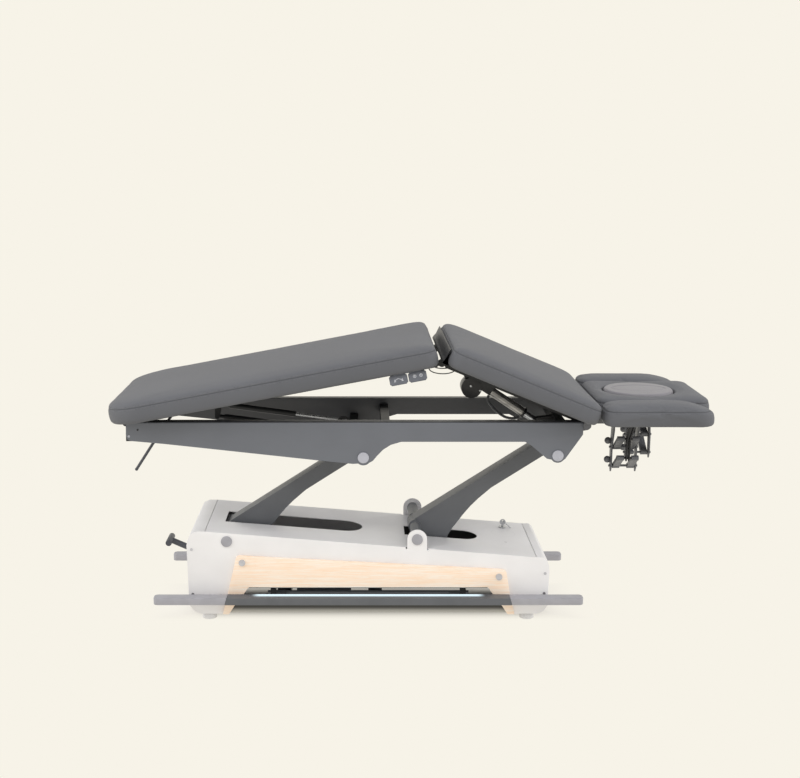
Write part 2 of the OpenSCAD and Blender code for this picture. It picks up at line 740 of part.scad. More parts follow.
// Lift arms: folded box arms with hub tubes
function scaled(table) = [for (q = table) [q.x * arm_len, q.y * arm_low]];
module arm_body() {
    difference() {
        slab(-arm_w / 2, arm_w / 2) union() {
            polygon(concat(scaled(arm_low_shares), [[0, arm_top], [arm_len, arm_top],
                [arm_len, -upper_hub_r],
                [arm_len - upper_hub_r, -arm_low]]));
            translate([arm_len, 0]) circle(r = upper_hub_r, $fn = 64);
        }
        slab(-arm_w / 2 + arm_wall, arm_w / 2 - arm_wall) polygon(concat(scaled(arm_in_shares),
            [[0, arm_top - arm_wall], [arm_len - upper_hub_r, arm_top - arm_wall],
            [arm_len - upper_hub_r, arm_wall - arm_low]]));
    }
}
module lift_arm(half, upper_fit) difference() {
    union() {
        arm_body();
        bar_across(hub_d, -half, half, 0, 0);
        both_sides() bar_across(collar_d, arm_w / 2, arm_w / 2 + collar_t, 0, 0);
        bar_across(2 * upper_hub_r, -upper_hub_half, upper_hub_half, arm_len, 0);
        children();
    }
    bar_across(shaft_d + 2 * run_fit, -half - over, half + over, 0, 0);
    bar_across(shaft_d + 2 * upper_fit, -upper_hub_half - over, upper_hub_half + over, arm_len, 0);
}
module crank() rotate([0, arm_angle - crank_angle, 0]) {
    both_sides() slab(crank_gap, crank_gap + crank_t) union() {
        translate([0, -crank_web / 2]) square([crank_r, crank_web]);
        translate([crank_r, 0]) circle(d = crank_web, $fn = 48);
    }
    bar_across(crank_pin_d, -crank_gap - crank_t, crank_gap + crank_t, crank_r, 0);
}
module arm_foot() centred() color(col_arm) on_arm(foot_pivot_x, foot_pivot_z)
    lift_arm(foot_hub_half, run_fit);
module arm_head() centred() color(col_arm) on_arm(head_pivot_x, head_pivot_z)
    lift_arm(base_w / 2 - ear_t - face_fit, open_fit) crank();

// Upper frame: two folded rails with lobes round the upper pivots
rail_depth = rail_top_z - (foot_top_pz - foot_lobe_r);
function on_lobe(x, z, r, table) = [for (q = table) [x + q.x * r, z + q.y * r]];
module rail_outline(top) {
    polygon(concat([[rail_foot_x, top]],
        [for (q = rail_foot_shares) [rail_foot_x + q.x * (rail_head_x - rail_foot_x), rail_top_z
            - (1 - q.y) * rail_depth]],
        on_lobe(foot_top_x, foot_top_pz, foot_lobe_r, [[-5.55, -0.37], [-1.28, -0.81], [-0.57, -0.76],
            [0.57, -0.76],
            [1.17, -0.44], [1.7, 0.2], [2.46, 1.0], [3.4, 1.62]]),
        [[foot_top_x + foot_lobe_r * 4.72, rail_neck_z], [head_top_x - head_lobe_r * 4.46, rail_neck_z]],
        on_lobe(head_top_x, head_top_pz, head_lobe_r, [[-3.6, 1.4], [-2.74, 0.68], [-1.46, -0.44],
            [-0.76, -0.57], [0.57, -0.76],
            [1.02, -0.44]]),
        [[rail_head_x, rail_top_z - rail_head_step], [rail_head_x, top]]));
    translate([foot_top_x, foot_top_pz]) circle(r = foot_lobe_r, $fn = 64);
    translate([head_top_x, head_top_pz]) circle(r = head_lobe_r, $fn = 64);
}
module rail() {
    slab(rail_in, rail_y) rail_outline(rail_top_z - rail_edge_r);
    block(rail_foot_x, rail_head_x, rail_y - flange_w, rail_y - rail_edge_r, rail_top_z - rail_t,
        rail_top_z);
    intersection() {
        difference() {
            bar_along(2 * rail_edge_r, rail_foot_x, rail_head_x, rail_y - rail_edge_r, rail_top_z
                - rail_edge_r);
            bar_along(2 * (rail_edge_r - rail_t), rail_foot_x - over, rail_head_x + over, rail_y
                - rail_edge_r, rail_top_z - rail_edge_r);
        }
        block(rail_foot_x, rail_head_x, rail_y - rail_edge_r, rail_y, rail_top_z - rail_edge_r, rail_top_z);
    }
}
module rail_near() centred() color(col_frame) mirror([0, 1, 0]) rail();
module rail_far() centred() color(col_frame) rail();

module cross_members() centred() color(col_black) for (i = [0 : 3])
    let (half = [rail_in, rail_in, rail_in, hinge_plate_y][i])
    block(cross_x[i] - cross_s / 2, cross_x[i] + cross_s / 2, -half, half, cross_z[i] - cross_s / 2,
        cross_z[i] + cross_s / 2);

module upper_axles() centred() color(col_steel) {
    bar_across(shaft_d, -rail_in, rail_in, foot_top_x, foot_top_pz);
    bar_across(shaft_d, -rail_in, rail_in, head_top_x, head_top_pz);
}
module upper_pivot_caps() centred() color(col_pale) both_sides() {
    bar_across(cap_upper_d, rail_y, rail_y + cap_h, foot_top_x, foot_top_pz);
    bar_across(cap_upper_d, rail_y, rail_y + cap_h, head_top_x, head_top_pz);
}

// Brackets for the tilt actuator and the struts, and the round glides under the long section
module eye_ear(y0, y1, x, z, hole, r, to_x, z0, z1, slot = 0) difference() {
    slab(y0, y1) union() {
        translate([x - slot, z]) circle(r = r, $fn = 48);
        polygon(concat([[x - slot, z - r]], slot > 0 ? [[x, z - r]] : [], [[to_x, z0], [to_x, z1]],
            slot > 0 ? [[x, z + r]] : [], [[x - slot, z + r]]));
    }
    bar_across(hole, y0 - over, y1 + over, x, z);
    if (slot > 0) {
        bar_across(hole, y0 - over, y1 + over, x - slot, z);
        block(x - slot, x, y0 - over, y1 + over, z - hole / 2, z + hole / 2);
    }
}
module frame_brackets() centred() color(col_black) {
    both_sides() {
        eye_ear(bracket_gap, bracket_gap + bracket_t, eye_x, eye_z, eye_pin_d + 2 * eye_fit, ear_reach
            + eye_fit,
            cross_x[3] - cross_s / 2, cross_z[3] - cross_s / 2, cross_z[3] + cross_s / 2);
        for (s = [-1, 1]) let (y = strut_y + s * (strut_ear_gap + strut_ear_t / 2))
            eye_ear(y - strut_ear_t / 2, y + strut_ear_t / 2, strut_eye_x, strut_eye_z, strut_pin_d + 2
                * eye_fit,
                ear_reach, cross_x[1] - cross_s / 2, cross_z[1] - cross_s / 2 + over, cross_z[1]
                    + cross_s / 2, slot = strut_slot);
        bar_across(glide_d, tube_y - glide_len / 2, tube_y + glide_len / 2, cross_x[0], cross_z[0]
            + cross_s / 2 + glide_d / 2);
    }
}

// Head-end hinge tube with its two plates
module hinge_tube() centred() color(col_pale) {
    bar_across(hinge_d, -rail_y - face_fit, rail_y + face_fit, hinge_x, hinge_z);
    both_sides() {
        bar_across(hinge_cap_d, rail_y + face_fit, hinge_cap_y, hinge_x, hinge_z);
        slab(hinge_plate_y, rail_in) union() {
            translate([hinge_x, hinge_z - hinge_d / 4]) circle(d = hinge_d * 1.1, $fn = 48);
            polygon([[rail_head_x - 2 * cross_s, rail_top_z - rail_edge_r],
                [rail_head_x - 2 * cross_s, rail_top_z - rail_head_step],
                [hinge_x, hinge_z - hinge_d * 0.8], [hinge_x + hinge_d * 0.5, hinge_z - hinge_d / 4],
                [rail_head_x, rail_top_z - rail_edge_r]]);
        }
    }
}

// Release lever: a cross shaft between the rails with a hanging handle
module release_lever() centred() color(col_black) {
    bar_across(lever_d, face_fit - rail_in, rail_in - face_fit, lever_x, lever_z);
    translate([lever_x, lever_y, lever_z]) rotate([0, lever_slope + 90, 0]) {
        cylinder(d = lever_d, h = lever_len, $fn = 32);
        translate([0, 0, lever_len]) sphere(d = lever_d * 1.15, $fn = 32);
    }
}

// Padded pieces: rings of points that follow a plan, drawn in at the base and crowned on top
corner_steps = 5;
function corner(x, y, r, a) = [for (i = [0 : corner_steps]) let (b = a + i * 90 / corner_steps)
    [x + r * cos(b), y + r * sin(b)]];
function round_plan(x0, x1, half, r) = concat(corner(x1 - r, half - r, r, 0),
    corner(x0 + r, half - r, r, 90),
    corner(x0 + r, r - half, r, 180), corner(x1 - r, r - half, r, 270));
function unit(v) = v / norm(v);
function drawn_in(plan, d) = [for (i = [0 : len(plan) - 1])
    let (n = len(plan), t = unit(plan[(i + 1) % n] - plan[(i + n - 1) % n])) plan[i] - d * [t.y, -t.x]];
function mean(plan) = [for (i = [0, 1]) (max([for (q = plan) q[i]]) + min([for (q = plan) q[i]])) / 2];
module pad(plan, z0, h, crown) {
    n = len(plan);
    c = mean(plan);
    rim = pad_side_shares[len(pad_side_shares) - 1];
    inner = drawn_in(plan, rim.x * h);
    rings = concat([for (s = pad_side_shares) [for (q = drawn_in(plan, s.x * h)) [q.x, q.y, z0 + s.y * h]]],
        [for (s = pad_crown_shares) [for (q = inner)
            [c.x + (q.x - c.x) * s.x, c.y + (q.y - c.y) * s.x, z0 + h * rim.y + crown * s.y]]]);
    m = len(rings);
    polyhedron(points = concat([for (r = rings) for (q = r) q],
        [[c.x, c.y, z0 + h * rim.y + crown], [c.x, c.y, z0]]),
        faces = concat(
            [for (k = [0 : m - 2]) for (i = [0 : n - 1]) each [
                [k * n + i, (k + 1) * n + i, (k + 1) * n + (i + 1) % n],
                [k * n + i, (k + 1) * n + (i + 1) % n, k * n + (i + 1) % n]]],
            [for (i = [0 : n - 1]) [(m - 1) * n + i, m * n, (m - 1) * n + (i + 1) % n]],
            [for (i = [0 : n - 1]) [(i + 1) % n, m * n + 1, i]]));
}

// A cushion whose cover goes down round the edge of its board
module covered_pad(plan, pocket, z0, deep, h, crown) difference() {
    pad(plan, z0, h + deep, crown);
    translate([0, 0, z0 - over]) linear_extrude(height = deep + over) polygon(pocket);
}
function box_plan(x0, x1, half, r, d) = round_plan(x0 + d, x1 - d, half - d, r - d);

// Middle section
// The head end's lower edge is cut back, so that it clears the head frame's lugs
module mid_cushion() centred() color(col_pad) on_mid() let (x0 = mid_gap - mid_span, x1 = x0 + mid_len)
    difference() {
        covered_pad(box_plan(x0, x1, pad_w / 2, pad_corner, 0),
            box_plan(x0, x1, pad_w / 2, pad_corner, board_inset - face_fit), board_lift, board_t, pad_h,
            pad_crown);
        translate([0, pad_w / 2 + over, 0]) rotate([90, 0, 0]) linear_extrude(height = pad_w + 2 * over)
            polygon([[x1 - heel_back, board_lift - over], [x1 + over, board_lift - over],
                [x1 + over, board_lift + heel_up], [x1 - heel_back, board_lift]]);
    }
module board(x0, x1, half) translate([0, 0, board_lift]) linear_extrude(height = board_t)
    polygon(round_plan(x0 + board_inset, x1 - board_inset, half - board_inset, pad_corner - board_inset));
module mid_board() centred() color(col_black) on_mid() board(mid_gap - mid_span, mid_gap - mid_span
    + mid_len, pad_w / 2);
module section_tubes(x0, x1, cross) {
    both_sides() block(x0, x1, tube_y - tube_s / 2, tube_y + tube_s / 2, -tube_drop, tube_s - tube_drop);
    for (x = cross) block(x, x + tube_s, -tube_y + tube_s / 2, tube_y - tube_s / 2, -tube_drop, tube_s
        - tube_drop);
}
module eye(r, y0, y1, x, hole) difference() {
    bar_across(2 * r, y0, y1, x, 0);
    bar_across(hole, y0 - over, y1 + over, x, 0);
}
module mid_frame() centred() color(col_black) on_mid() {
    difference() {
        union() {
            section_tubes(tube_end - mid_span, -lug_r, [2 * tube_s - mid_span, -3 * tube_s]);
            both_sides() {
                bar_across(2 * lug_r, tube_y - tube_s / 2, tube_y - tube_s / 2 + lug_t, 0, 0);
                block(-2 * lug_r, 0, tube_y - tube_s / 2, tube_y - tube_s / 2 + lug_t, -tube_drop, tube_s
                    - tube_drop - over);
                block(-mid_span, tube_end - mid_span, tube_y - tube_s / 2, tube_y - tube_s / 2
                    + knuckle_t, -knuckle_r / 2, knuckle_r / 2);
                bar_across(2 * knuckle_r, tube_y - tube_s / 2, tube_y - tube_s / 2 + knuckle_t, -mid_span,
                    0);
                bar_across(peak_pin_d, tube_y - tube_s / 2, tube_y + tube_s / 2, -mid_span, 0);
            }
        }
        bar_across(hinge_d + 2 * run_fit, -tube_y - tube_s, tube_y + tube_s, 0, 0);
    }
    both_sides() slab(clevis_gap, clevis_gap + clevis_t) {
        translate([clevis_x, clevis_z]) circle(r = 0.82 * clevis_pin_d, $fn = 48);
        polygon([[clevis_x - 0.8 * clevis_pin_d, clevis_z], [clevis_x + 0.8 * clevis_pin_d, clevis_z],
            [clevis_x + 3 * clevis_pin_d, board_lift], [clevis_x - 2 * clevis_pin_d, board_lift]]);
    }
    bar_across(clevis_pin_d, -clevis_gap - clevis_t, clevis_gap + clevis_t, clevis_x, clevis_z);
}

// Flap that closes the gap at the peak: a foot under the board and a leaf between the cushions
module gap_flap() centred() color(col_black) on_mid() translate([-mid_span, 0, 0]) {
    slab(-flap_half, flap_half) polygon([[flap_x, knuckle_r + over], [flap_x, pad_top * 0.55],
        [flap_x + flap_t, pad_top * 0.83],
        [flap_x + 2 * flap_t, pad_top * 0.83], [flap_x + flap_t, pad_top * 0.5],
            [flap_x + flap_t, board_lift],
        [tube_end, board_lift], [tube_end, knuckle_r + over]]);
}

// Tilt actuator
module tilt_motor() centred() color(col_black) on_actuator() difference() {
    union() {
        bar_across(2 * clevis_pin_d, face_fit - clevis_gap, clevis_gap - face_fit, 0, 0);
        bar_across(2 * motor_r, -motor_half, motor_half, motor_x, motor_z);
        block(motor_x, gear_x1, -gear_half, gear_half, gear_low, gear_top);
        block(0, motor_x, face_fit - clevis_gap, clevis_gap - face_fit, gear_low, clevis_pin_d);
        bar_along(tilt_tube_d, gear_x1, tilt_tube_x1, 0, 0);
        bar_along(tilt_ring_d, tilt_tube_x1 - tilt_ring_t, tilt_tube_x1, 0, 0);
    }
    bar_across(clevis_pin_d + 2 * run_fit, -clevis_gap, clevis_gap, 0, 0);
    bar_along(tilt_rod_d + 2 * run_fit, tilt_bore_x0, tilt_tube_x1 + over, 0, 0);
}
module tilt_rod() centred() color(col_steel) on_actuator() {
    bar_along(tilt_rod_d, tilt_rod_x0, tilt_run, 0, 0);
    bar_across(tilt_eye_d, face_fit - bracket_gap, bracket_gap - face_fit, tilt_run, 0);
    bar_across(eye_pin_d, -bracket_gap - bracket_t, bracket_gap + bracket_t, tilt_run, 0);
}

// Ribbed conduit from the gear case to the tube's end, swept round its route
conduit_route = [[108, -1, -18], [109, -3, -24], [116, -6, -33], [128, -8, -40], [144, -9, -45],
    [162, -10, -48],
    [180, -10, -49], [198, -9, -48], [214, -7, -43], [227, -4, -36], [236, -2, -29], [239, -1, -22]];
conduit_d = 11;
conduit_bore = 6;
conduit_ribs = 34;
conduit_groove = 1.2;
conduit_sides = 8;
function spline(p, u) = let (n = len(p) - 1, i = min(floor(u * n), n - 1), t = u * n - i,
    a = p[max(i - 1, 0)], b = p[i], c = p[i + 1], d = p[min(i + 2, n)])
    0.5 * (2 * b + t * (c - a) + t * t * (2 * a - 5 * b + 4 * c - d) + t * t * t * (3 * b - a - 3 * c + d));
function tube_ring(p, u, r) = let (e = 0.004, d = unit(spline(p, min(u + e, 1)) - spline(p, max(u - e, 0))),
    w = unit(cross(d, [0, 1, 0])), v = cross(w, d))
    [for (k = [0 : conduit_sides - 1]) let (a = k * 360 / conduit_sides) spline(p, u) + r
        * (cos(a) * v + sin(a) * w)];
module closed_hose(rings) {
    n = len(rings);
    s = conduit_sides;
    polyhedron(points = [for (r = rings) for (q = r) q],
        faces = [for (i = [0 : n - 1]) for (k = [0 : s - 1]) each [
        [i * s + k, i * s + (k + 1) % s, ((i + 1) % n) * s + (k + 1) % s],
        [i * s + k, ((i + 1) % n) * s + (k + 1) % s, ((i + 1) % n) * s + k]]]);
}
module tilt_conduit() centred() color("#4c4d52") on_actuator() closed_hose(concat(
    [for (i = [0 : 2 * conduit_ribs]) tube_ring(conduit_route, i / (2 * conduit_ribs), conduit_d / 2
        - (i % 2) * conduit_groove)],
    [for (i = [conduit_ribs : -1 : 0]) tube_ring(conduit_route, i / conduit_ribs, conduit_bore / 2)]));

// Long section, widely rounded at its foot end
function leg_plan(d) = let (x0 = d - leg_gap - leg_len, x1 = -leg_gap - d, half = pad_w / 2 - d,
    r = pad_corner - d, q = leg_corner - d)
    concat(corner(x1 - r, half - r, r, 0), corner(x0 + q, half - q, q, 90), corner(x0 + q, q - half, q, 180),
        corner(x1 - r, r - half, r, 270));
module leg_cushion() centred() color(col_pad) on_leg()
    covered_pad(leg_plan(0), leg_plan(board_inset - face_fit), board_lift, board_t, pad_h, pad_crown);
module leg_board() centred() color(col_black) on_leg() translate([0, 0, board_lift])
    linear_extrude(height = board_t) polygon(leg_plan(board_inset));
module leg_frame() centred() color(col_black) on_leg() {
    section_tubes(leg_tube_x, -tube_end, [-4 * tube_s, strut_lug_x, leg_tube_x]);
    difference() {
        both_sides() {
            bar_across(2 * knuckle_r, tube_y + face_fit, tube_y + tube_s / 2, 0, 0);
            block(-tube_end - over, 0, tube_y + face_fit, tube_y + tube_s / 2, -knuckle_r / 2,
                knuckle_r / 2);
        }
        bar_across(peak_pin_d + 2 * run_fit, -tube_y - tube_s, tube_y + tube_s, 0, 0);
    }
    bar_across(end_bar_d, -(tube_y + end_bar_out), (tube_y + end_bar_out), end_bar_x, -tube_drop
        + end_bar_d / 2 - over);
    both_sides() block(end_bar_x, leg_tube_x, tube_y - tube_s / 2, tube_y + tube_s / 2,
        -tube_drop, end_bar_d / 2);
    both_sides() for (s = [-1, 1]) let (y = strut_y + s * (strut_ear_gap + strut_ear_t / 2))
        slab(y - strut_ear_t / 2, y + strut_ear_t / 2) union() {
            translate([strut_lug_x, strut_lug_z]) circle(d = 2 * strut_pin_d, $fn = 40);
            polygon([[strut_lug_x - strut_pin_d, strut_lug_z], [strut_lug_x + strut_pin_d, strut_lug_z],
                [strut_lug_x + tube_s, -tube_drop], [strut_lug_x, -tube_drop]]);
        }
    both_sides() bar_across(strut_pin_d, strut_y - strut_ear_gap - strut_ear_t, strut_y + strut_ear_gap
        + strut_ear_t,
        strut_lug_x, strut_lug_z);
}

// Keypads under the long cushion's edge, with their holder
module keypads() centred() color("#4b4d55") on_leg() {
    for (x = keypad_x) translate([x, keypad_y, keypad_z]) rotate([-keypad_tilt, 0, 0])
        translate([-keypad_w / 2, -keypad_t / 2, -keypad_h / 2]) cube([keypad_w, keypad_t, keypad_h]);
    block(keypad_x[0] - keypad_w / 4, keypad_x[1] + keypad_w / 4, keypad_y, keypad_y + 3 * keypad_t,
        board_lift - sheet, board_lift);
}

// Struts under the long section
module strut_cylinders() centred() color(col_black) for (y = [-strut_y, strut_y]) on_strut(y) difference() {
    union() {
        bar_along(strut_cyl_d, strut_neck_x, strut_cyl_len, 0, 0);
        bar_along(strut_neck_d, 0, strut_neck_x + over, 0, 0);
        bar_across(2 * strut_pin_d, face_fit - strut_ear_gap, strut_ear_gap - face_fit, 0, 0);
    }
    bar_across(strut_pin_d + 2 * run_fit, -strut_cyl_d, strut_cyl_d, 0, 0);
    bar_along(strut_rod_d + 2 * run_fit, strut_rod_x0 - strut_rod_d, strut_cyl_len + over, 0, 0);
}
module strut_rods() centred() color(col_steel) for (y = [-strut_y, strut_y]) on_strut(y) {
    bar_along(strut_rod_d, strut_rod_x0, strut_run, 0, 0);
    bar_across(strut_eye_d, face_fit - strut_ear_gap, strut_ear_gap - face_fit, strut_run, 0);
    bar_across(strut_pin_d, -strut_ear_gap - strut_ear_t, strut_ear_gap + strut_ear_t, strut_run, 0);
}

// Head section: board with a face hole, frame, cushion and plug
head_pad_z = head_board_z + head_board_t;
module head_cushion() centred() color(col_pad) difference() {
    covered_pad(box_plan(head_x, head_x + head_len, head_w / 2, pad_corner, 0),
        box_plan(head_x, head_x + head_len, head_w / 2, pad_corner, board_inset - face_fit),
        head_board_z, head_board_t, head_pad_t - pad_crown, pad_crown);
    translate([plug_x, 0, head_pad_z - over]) cylinder(d = plug_d + 2 * plug_fit, h = head_pad_t + 2
        * over, $fn = 96);
}
module head_board() centred() color(col_black) translate([0, 0, head_board_z]) difference() {
    linear_extrude(height = head_board_t)
        polygon(round_plan(head_x + board_inset, head_x + head_len - board_inset, head_w / 2
            - board_inset, pad_corner - board_inset));
    translate([plug_x, 0, -over]) cylinder(d = face_hole_d, h = head_board_t + 2 * over, $fn = 96);
}
module face_plug() centred() color(col_pale) translate([plug_x, 0, head_pad_z])
    cylinder(d = plug_d, h = head_pad_t, $fn = 96);

// The armrests' links hang in two groups, one under each side
module hanger(x, side) mirror([0, side < 0 ? 1 : 0, 0]) {
    for (x0 = [x, x + group_len - hanger_t]) fin(x0, x0 + hanger_t) polygon([
        [head_tube_y + tube_s / 2, head_board_z - tube_s], [head_tube_y - tube_s, head_board_z - tube_s],
        [link_pin_y - 1.6 * link_eye_r, link_pin_z], [link_pin_y - 1.5 * link_eye_r, link_pin_z
            - link_pin_step],
        [link_pin_y, link_pin_z - link_pin_step - 2.3 * link_eye_r],
            [link_pin_y + 1.5 * link_eye_r, link_pin_z - link_pin_step],
        [link_pin_y + 1.6 * link_eye_r, link_pin_z], [head_tube_y + tube_s / 2, head_board_z - 2
            * tube_s]]);
    for (z = [link_pin_z, link_pin_z - link_pin_step]) {
        bar_along(link_pin_d, x - hanger_t, x + group_len + hanger_t, link_pin_y, z);
        translate([x - buffer_d / 3, link_pin_y - buffer_d / 3, z + 0.85 * buffer_d])
            sphere(d = buffer_d, $fn = 32);
    }
}
module head_frame() centred() color(col_frame) {
    difference() {
        union() {
            both_sides() {
                block(hinge_x + lug_r, head_tube_x1, head_tube_y - tube_s / 2, head_tube_y + tube_s / 2,
                    head_board_z - tube_s, head_board_z);
                block(hinge_x, hinge_x + 2 * lug_r, head_tube_y - lug_t / 2, head_tube_y + lug_t / 2,
                    head_board_z - tube_s, head_board_z - over);
                bar_across(2 * lug_r, head_tube_y - lug_t / 2, head_tube_y + lug_t / 2, hinge_x, hinge_z);
            }
            for (x = [head_x, head_tube_x1 - tube_s]) block(x, x + tube_s, tube_s / 2 - head_tube_y,
                head_tube_y - tube_s / 2,
                head_board_z - tube_s, head_board_z);
        }
        bar_across(hinge_d + 2 * run_fit, -head_tube_y - tube_s, head_tube_y + tube_s, hinge_x, hinge_z);
    }
    hanger(link_group_x[0], -1);
    hanger(link_group_x[1], 1);
}

// Armrests
rest_y = head_w / 2 + rest_gap;
rest_corner_shares = [0.56, 0.38, 0.3];
function rest_plan() = let (r0 = rest_corner_shares.x * rest_w, r1 = rest_corner_shares.y * rest_w,
    r2 = rest_corner_shares.z * rest_w)
    concat(corner(head_x + rest_len - r1, rest_y + rest_w - r1, r1, 0),
        corner(head_x + r2, rest_y + rest_w - r2, r2, 90),
    corner(head_x + r1, rest_y + r1, r1, 180), corner(head_x + rest_len - r0, rest_y + r0, r0, 270));
module armrest() centred() color(col_pad) covered_pad(rest_plan(), drawn_in(rest_plan(), board_inset
    - face_fit), head_board_z, head_board_t, head_pad_t - pad_crown, pad_crown);
module armrest_far() armrest();
module armrest_near() mirror([0, 1, 0]) armrest();

link_dy = link_len * cos(link_angle);
link_dz = link_len * sin(link_angle);
module rest_carrier(x, side) centred() color("#4a4b50") mirror([0, side < 0 ? 1 : 0, 0]) {
    translate([0, 0, head_board_z]) linear_extrude(height = head_board_t)
        polygon(drawn_in(rest_plan(), board_inset));
    for (x0 = [x + carrier_in, x + group_len - carrier_in - hanger_t]) fin(x0, x0 + hanger_t) polygon([
        [rest_y + rest_w / 2, head_board_z], [rest_y + board_inset, head_board_z],
        [link_pin_y + link_dy - link_eye_r, link_pin_z + link_dz],
            [link_pin_y + link_dy - link_eye_r, link_pin_z + link_dz - link_pin_step],
        [link_pin_y + link_dy, link_pin_z + link_dz - link_pin_step - 1.3 * link_eye_r],
        [link_pin_y + link_dy + link_eye_r, link_pin_z + link_dz - link_pin_step],
            [link_pin_y + link_dy + 1.5 * link_eye_r, link_pin_z + link_dz]]);
    for (z = [link_pin_z + link_dz, link_pin_z + link_dz - link_pin_step])
        bar_along(link_pin_d, x + link_in, x + group_len - link_in, link_pin_y + link_dy, z);
}
module rest_carrier_near() rest_carrier(link_group_x[0], -1);
module rest_carrier_far() rest_carrier(link_group_x[1], 1);

module link(x, z, side, far_fit) centred() color(col_arm) mirror([0, side < 0 ? 1 : 0, 0])
    for (x0 = [x + link_in, x + group_len - link_in - link_w]) difference() {
        union() {
            bar_along(2 * link_eye_r, x0, x0 + link_w, link_pin_y, z);
            bar_along(2 * link_eye_r, x0, x0 + link_w, link_pin_y + link_dy, z + link_dz);
            translate([x0, link_pin_y, z]) rotate([link_angle, 0, 0]) translate([0, 0, -link_t / 2])
                cube([link_w, link_len, link_t]);
        }
        bar_along(link_pin_d + 2 * run_fit, x0 - over, x0 + link_w + over, link_pin_y, z);
        bar_along(link_pin_d + 2 * far_fit, x0 - over, x0 + link_w + over, link_pin_y + link_dy, z
            + link_dz);
    }
module link_upper_near() link(link_group_x[0], link_pin_z, -1, run_fit);
module link_lower_near() link(link_group_x[0], link_pin_z - link_pin_step, -1, open_fit);
module link_upper_far() link(link_group_x[1], link_pin_z, 1, run_fit);
module link_lower_far() link(link_group_x[1], link_pin_z - link_pin_step, 1, open_fit);

base_casing();
end_caps();
chassis();
lower_axles();
lower_pivot_caps();
rubber_feet();
wood_panel_near();
wood_panel_far();
side_screws();
light_strips();
control_box();
lift_actuator();
key_switch();
foot_bar_near();
bar_sleeves_near();
foot_bar_far();
bar_sleeves_far();
castor_pedal();
castor_carriage_foot();
castor_wheels_foot();
castor_carriage_head();
castor_wheels_head();
key();
spare_key();
arm_foot();
arm_head();
lift_rod();
rail_near();
rail_far();
cross_members();
upper_axles();
upper_pivot_caps();
frame_brackets();
hinge_tube();
release_lever();
mid_cushion();
mid_board();
mid_frame();
gap_flap();
tilt_motor();
tilt_rod();
tilt_conduit();
leg_cushion();
leg_board();
leg_frame();
keypads();
strut_cylinders();
strut_rods();
head_cushion();
head_board();
head_frame();
face_plug();
armrest_near();
armrest_far();
rest_carrier_near();
rest_carrier_far();
link_upper_near();
link_lower_near();
link_upper_far();
link_lower_far();
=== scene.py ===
import json
import math

import bmesh
import bpy
import numpy as np
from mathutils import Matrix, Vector


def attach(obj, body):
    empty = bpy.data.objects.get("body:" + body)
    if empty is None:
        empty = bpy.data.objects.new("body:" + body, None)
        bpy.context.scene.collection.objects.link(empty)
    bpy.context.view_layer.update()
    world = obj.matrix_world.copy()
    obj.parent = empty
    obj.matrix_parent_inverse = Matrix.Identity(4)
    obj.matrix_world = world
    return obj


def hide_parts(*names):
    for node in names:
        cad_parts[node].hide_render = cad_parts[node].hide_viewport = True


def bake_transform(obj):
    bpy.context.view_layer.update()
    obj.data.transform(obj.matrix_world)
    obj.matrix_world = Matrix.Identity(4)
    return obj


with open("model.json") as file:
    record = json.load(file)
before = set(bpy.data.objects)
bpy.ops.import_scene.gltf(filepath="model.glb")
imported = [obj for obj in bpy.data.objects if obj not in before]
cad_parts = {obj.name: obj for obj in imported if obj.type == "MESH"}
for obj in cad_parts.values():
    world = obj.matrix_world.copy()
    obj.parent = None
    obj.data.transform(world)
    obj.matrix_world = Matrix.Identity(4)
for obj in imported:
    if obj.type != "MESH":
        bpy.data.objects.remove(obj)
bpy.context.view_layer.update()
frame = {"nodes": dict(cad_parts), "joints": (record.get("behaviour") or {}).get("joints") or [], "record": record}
joints = {j["name"]: j for j in frame["joints"]}
print("frame loaded:", len(frame["nodes"]), "solids")

# places
# the base's own zero lies this far from the row frame's zero, along x
baseX = joints["foot_bar_near_press"]["pos_m"][0]
hingePoint = joints["mid_tilt"]["pos_m"]
peakPoint = joints["leg_fold"]["pos_m"]
midTilt, legTilt = 22.5, -10.8  # degrees about y at rest


def placed(points, origin, tilt):
    # turns points about y by tilt degrees and moves them to origin
    p = np.asarray(points, float)
    c, s = math.cos(math.radians(tilt)), math.sin(math.radians(tilt))
    return np.stack([origin[0] + p[:, 0] * c + p[:, 2] * s, origin[1] + p[:, 1],
                     origin[2] - p[:, 0] * s + p[:, 2] * c], axis=1)


def toRow(points):
    p = np.array(points, float)
    p[:, 0] += baseX
    return p


# shader maths
def srgb(text):
    v = [int(text[i:i + 2], 16) / 255 for i in (1, 3, 5)]
    return tuple(x / 12.92 if x <= 0.04045 else ((x + 0.055) / 1.055) ** 2.4 for x in v)


